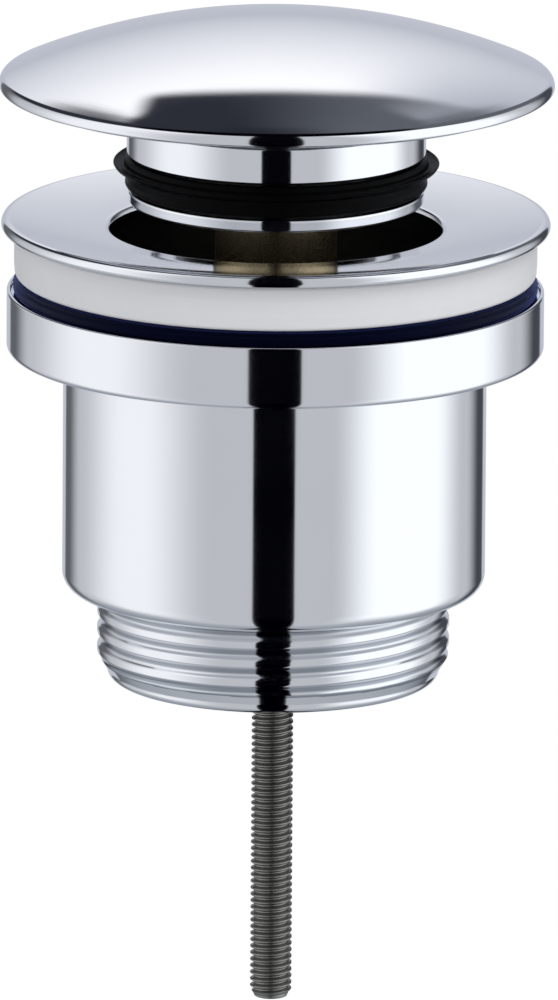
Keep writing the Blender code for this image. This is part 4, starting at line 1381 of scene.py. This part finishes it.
def make_floor():
    """A pale round floor below the hanging object, with its shadow, and clear to a camera from below."""
    rings = np.array(FLOOR_RINGS) * FLOOR_R
    points = np.column_stack([rings, np.full(len(rings), FLOOR_Z)])
    mesh = turned_mesh("floor", plain_rows(points, SMALL_COLUMNS), closed=False)
    tree, shader = new_finish("pale_floor")
    tree.nodes.remove(shader)
    matt = add(tree, "ShaderNodeBsdfDiffuse", {"Color": FLOOR_COLOUR}).outputs[0]
    to_camera = add(tree, "ShaderNodeLightPath").outputs["Is Camera Ray"]
    strength = mapped(tree, to_camera, 0.0, FLOOR_GLOW)
    glow = add(tree, "ShaderNodeEmission", {"Color": WHITE, "Strength": strength}).outputs[0]
    lit = add(tree, "ShaderNodeAddShader", {0: matt, 1: glow}).outputs[0]
    clear = add(tree, "ShaderNodeBsdfTransparent").outputs[0]
    below = add(tree, "ShaderNodeNewGeometry").outputs["Backfacing"]
    side = add(tree, "ShaderNodeMixShader", {0: below, 1: lit, 2: clear}).outputs[0]
    fill(tree, tree.nodes["Material Output"], {"Surface": side})
    mesh.materials.append(bpy.data.materials["pale_floor"])
    floor = link(bpy.data.objects.new("floor", mesh))
    floor.visible_glossy = False


def make_light():
    """One large soft lamp above the front right, which no mirror shows."""
    lamp = bpy.data.lights.new("soft_key", "AREA")
    lamp.shape = "DISK"
    lamp.size = LAMP_SIZE
    lamp.energy = bpy.context.scene.waste_studio.key_power
    holder = link(bpy.data.objects.new("soft_key", lamp))
    holder.location = LAMP_PLACE
    holder.rotation_euler = (LAMP_AIM - holder.location).to_track_quat("-Z", "Y").to_euler()
    holder.visible_glossy = False
    holder.visible_camera = False


def make_camera():
    """A long lens, level with the photograph's: its axis meets the object's at the middle row's height."""
    settings = bpy.context.scene.waste_studio
    data = bpy.data.cameras.new("camera")
    data.lens = settings.lens
    data.sensor_width = SENSOR
    data.clip_start, data.clip_end = CLIP
    distance = settings.lens / SENSOR * FRAME_HEIGHT / SCALE
    target = Vector(((FRAME_WIDTH / 2 - AXIS_X) / SCALE, 0, MIDDLE_Z))
    back = Vector((0, -cos(settings.elevation), sin(settings.elevation)))
    camera = link(bpy.data.objects.new("camera", data))
    camera.location = target + distance * back
    turn = (-back).to_track_quat("-Z", "Y").to_matrix() @ Matrix.Rotation(settings.roll, 3, "Z")
    camera.rotation_euler = turn.to_euler()
    bpy.context.scene.camera = camera
    bpy.context.scene.view_settings.view_transform = "Standard"


# Operators


class WasteOperator:
    """What the operators share: they make the finishes if there are none yet, and then their pieces."""

    bl_options = {"REGISTER", "UNDO"}

    def execute(self, context):
        make_finishes(context.scene.waste_finishes)
        for make in self.makers:
            make()
        return {"FINISHED"}


class WASTE_OT_stage(WasteOperator, bpy.types.Operator):
    """Make the floor, the surroundings, the lamp and the camera"""

    bl_idname = "waste.stage"
    bl_label = "Stage"
    makers = (make_world, make_floor, make_light, make_camera)


class WASTE_OT_plug(WasteOperator, bpy.types.Operator):
    """Make the plug: its dome, its body, its seal and the ring that keeps the seal on"""

    bl_idname = "waste.plug"
    bl_label = "Plug"
    makers = (make_plug_dome, make_plug_body, make_plug_seal, make_retainer)


class WASTE_OT_cartridge(WasteOperator, bpy.types.Operator):
    """Make the cartridge: sleeve, cap, stem, lock nut and the spring inside"""

    bl_idname = "waste.cartridge"
    bl_label = "Cartridge"
    makers = (make_cartridge_sleeve, make_cartridge_cap, make_cartridge_stem, make_lock_nut, make_spring)


class WASTE_OT_small_rings(WasteOperator, bpy.types.Operator):
    """Make the stop ring, the two washers and the bush"""

    bl_idname = "waste.small_rings"
    bl_label = "Small rings"
    makers = (make_small_rings,)


class WASTE_OT_flange(WasteOperator, bpy.types.Operator):
    """Make the dished flange with its spigot and spider"""

    bl_idname = "waste.flange"
    bl_label = "Basin flange"
    makers = (make_basin_flange,)


class WASTE_OT_seals(WasteOperator, bpy.types.Operator):
    """Make the white gasket and the navy seal"""

    bl_idname = "waste.seals"
    bl_label = "Gasket and seal"
    makers = (make_gasket, make_under_basin_seal)


class WASTE_OT_bolt(WasteOperator, bpy.types.Operator):
    """Make the centre bolt with its rolled thread"""

    bl_idname = "waste.bolt"
    bl_label = "Centre bolt"
    makers = (make_clamp_bolt,)


class WASTE_OT_tail(WasteOperator, bpy.types.Operator):
    """Make the tail: collar, barrel, pipe thread and spider"""

    bl_idname = "waste.tail"
    bl_label = "Tail"
    makers = (make_tail_body,)


class WASTE_OT_carried_nodes(WasteOperator, bpy.types.Operator):
    """Give the CAD nodes that are shown as they are, the latch ring and its clip, their finishes"""

    bl_idname = "waste.carried_nodes"
    bl_label = "Latch ring and clip"
    makers = (dress_latch,)


class WASTE_PT_sidebar(bpy.types.Panel):
    """Lists the pieces and their settings"""

    bl_label = "Basin waste"
    bl_idname = "WASTE_PT_sidebar"
    bl_space_type = "VIEW_3D"
    bl_region_type = "UI"
    bl_category = "Basin waste"

    def draw(self, context):
        layout = self.layout
        for operator in OPERATORS:
            layout.operator(operator.bl_idname)
        for settings in GROUPS:
            group = getattr(context.scene, settings)
            box = layout.box()
            for name in group.bl_rna.properties.keys():
                if name not in ("rna_type", "name"):
                    box.prop(group, name)


OPERATORS = (
    WASTE_OT_stage,
    WASTE_OT_plug,
    WASTE_OT_cartridge,
    WASTE_OT_small_rings,
    WASTE_OT_flange,
    WASTE_OT_seals,
    WASTE_OT_bolt,
    WASTE_OT_tail,
    WASTE_OT_carried_nodes,
)
GROUPS = {
    "waste_threads": WasteThreads,
    "waste_finishes": WasteFinishes,
    "waste_studio": WasteStudio,
}


def register():
    for name, group in GROUPS.items():
        bpy.utils.register_class(group)
        setattr(bpy.types.Scene, name, bpy.props.PointerProperty(type=group))
    for operator in OPERATORS:
        bpy.utils.register_class(operator)
    bpy.utils.register_class(WASTE_PT_sidebar)


def unregister():
    bpy.utils.unregister_class(WASTE_PT_sidebar)
    for operator in reversed(OPERATORS):
        bpy.utils.unregister_class(operator)
    for name, group in GROUPS.items():
        delattr(bpy.types.Scene, name)
        bpy.utils.unregister_class(group)


def main():
    """Registers the add-on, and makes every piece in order."""
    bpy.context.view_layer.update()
    register()
    for operator in OPERATORS:
        group, name = operator.bl_idname.split(".")
        getattr(getattr(bpy.ops, group), name)()


if __name__ == "__main__":
    main()
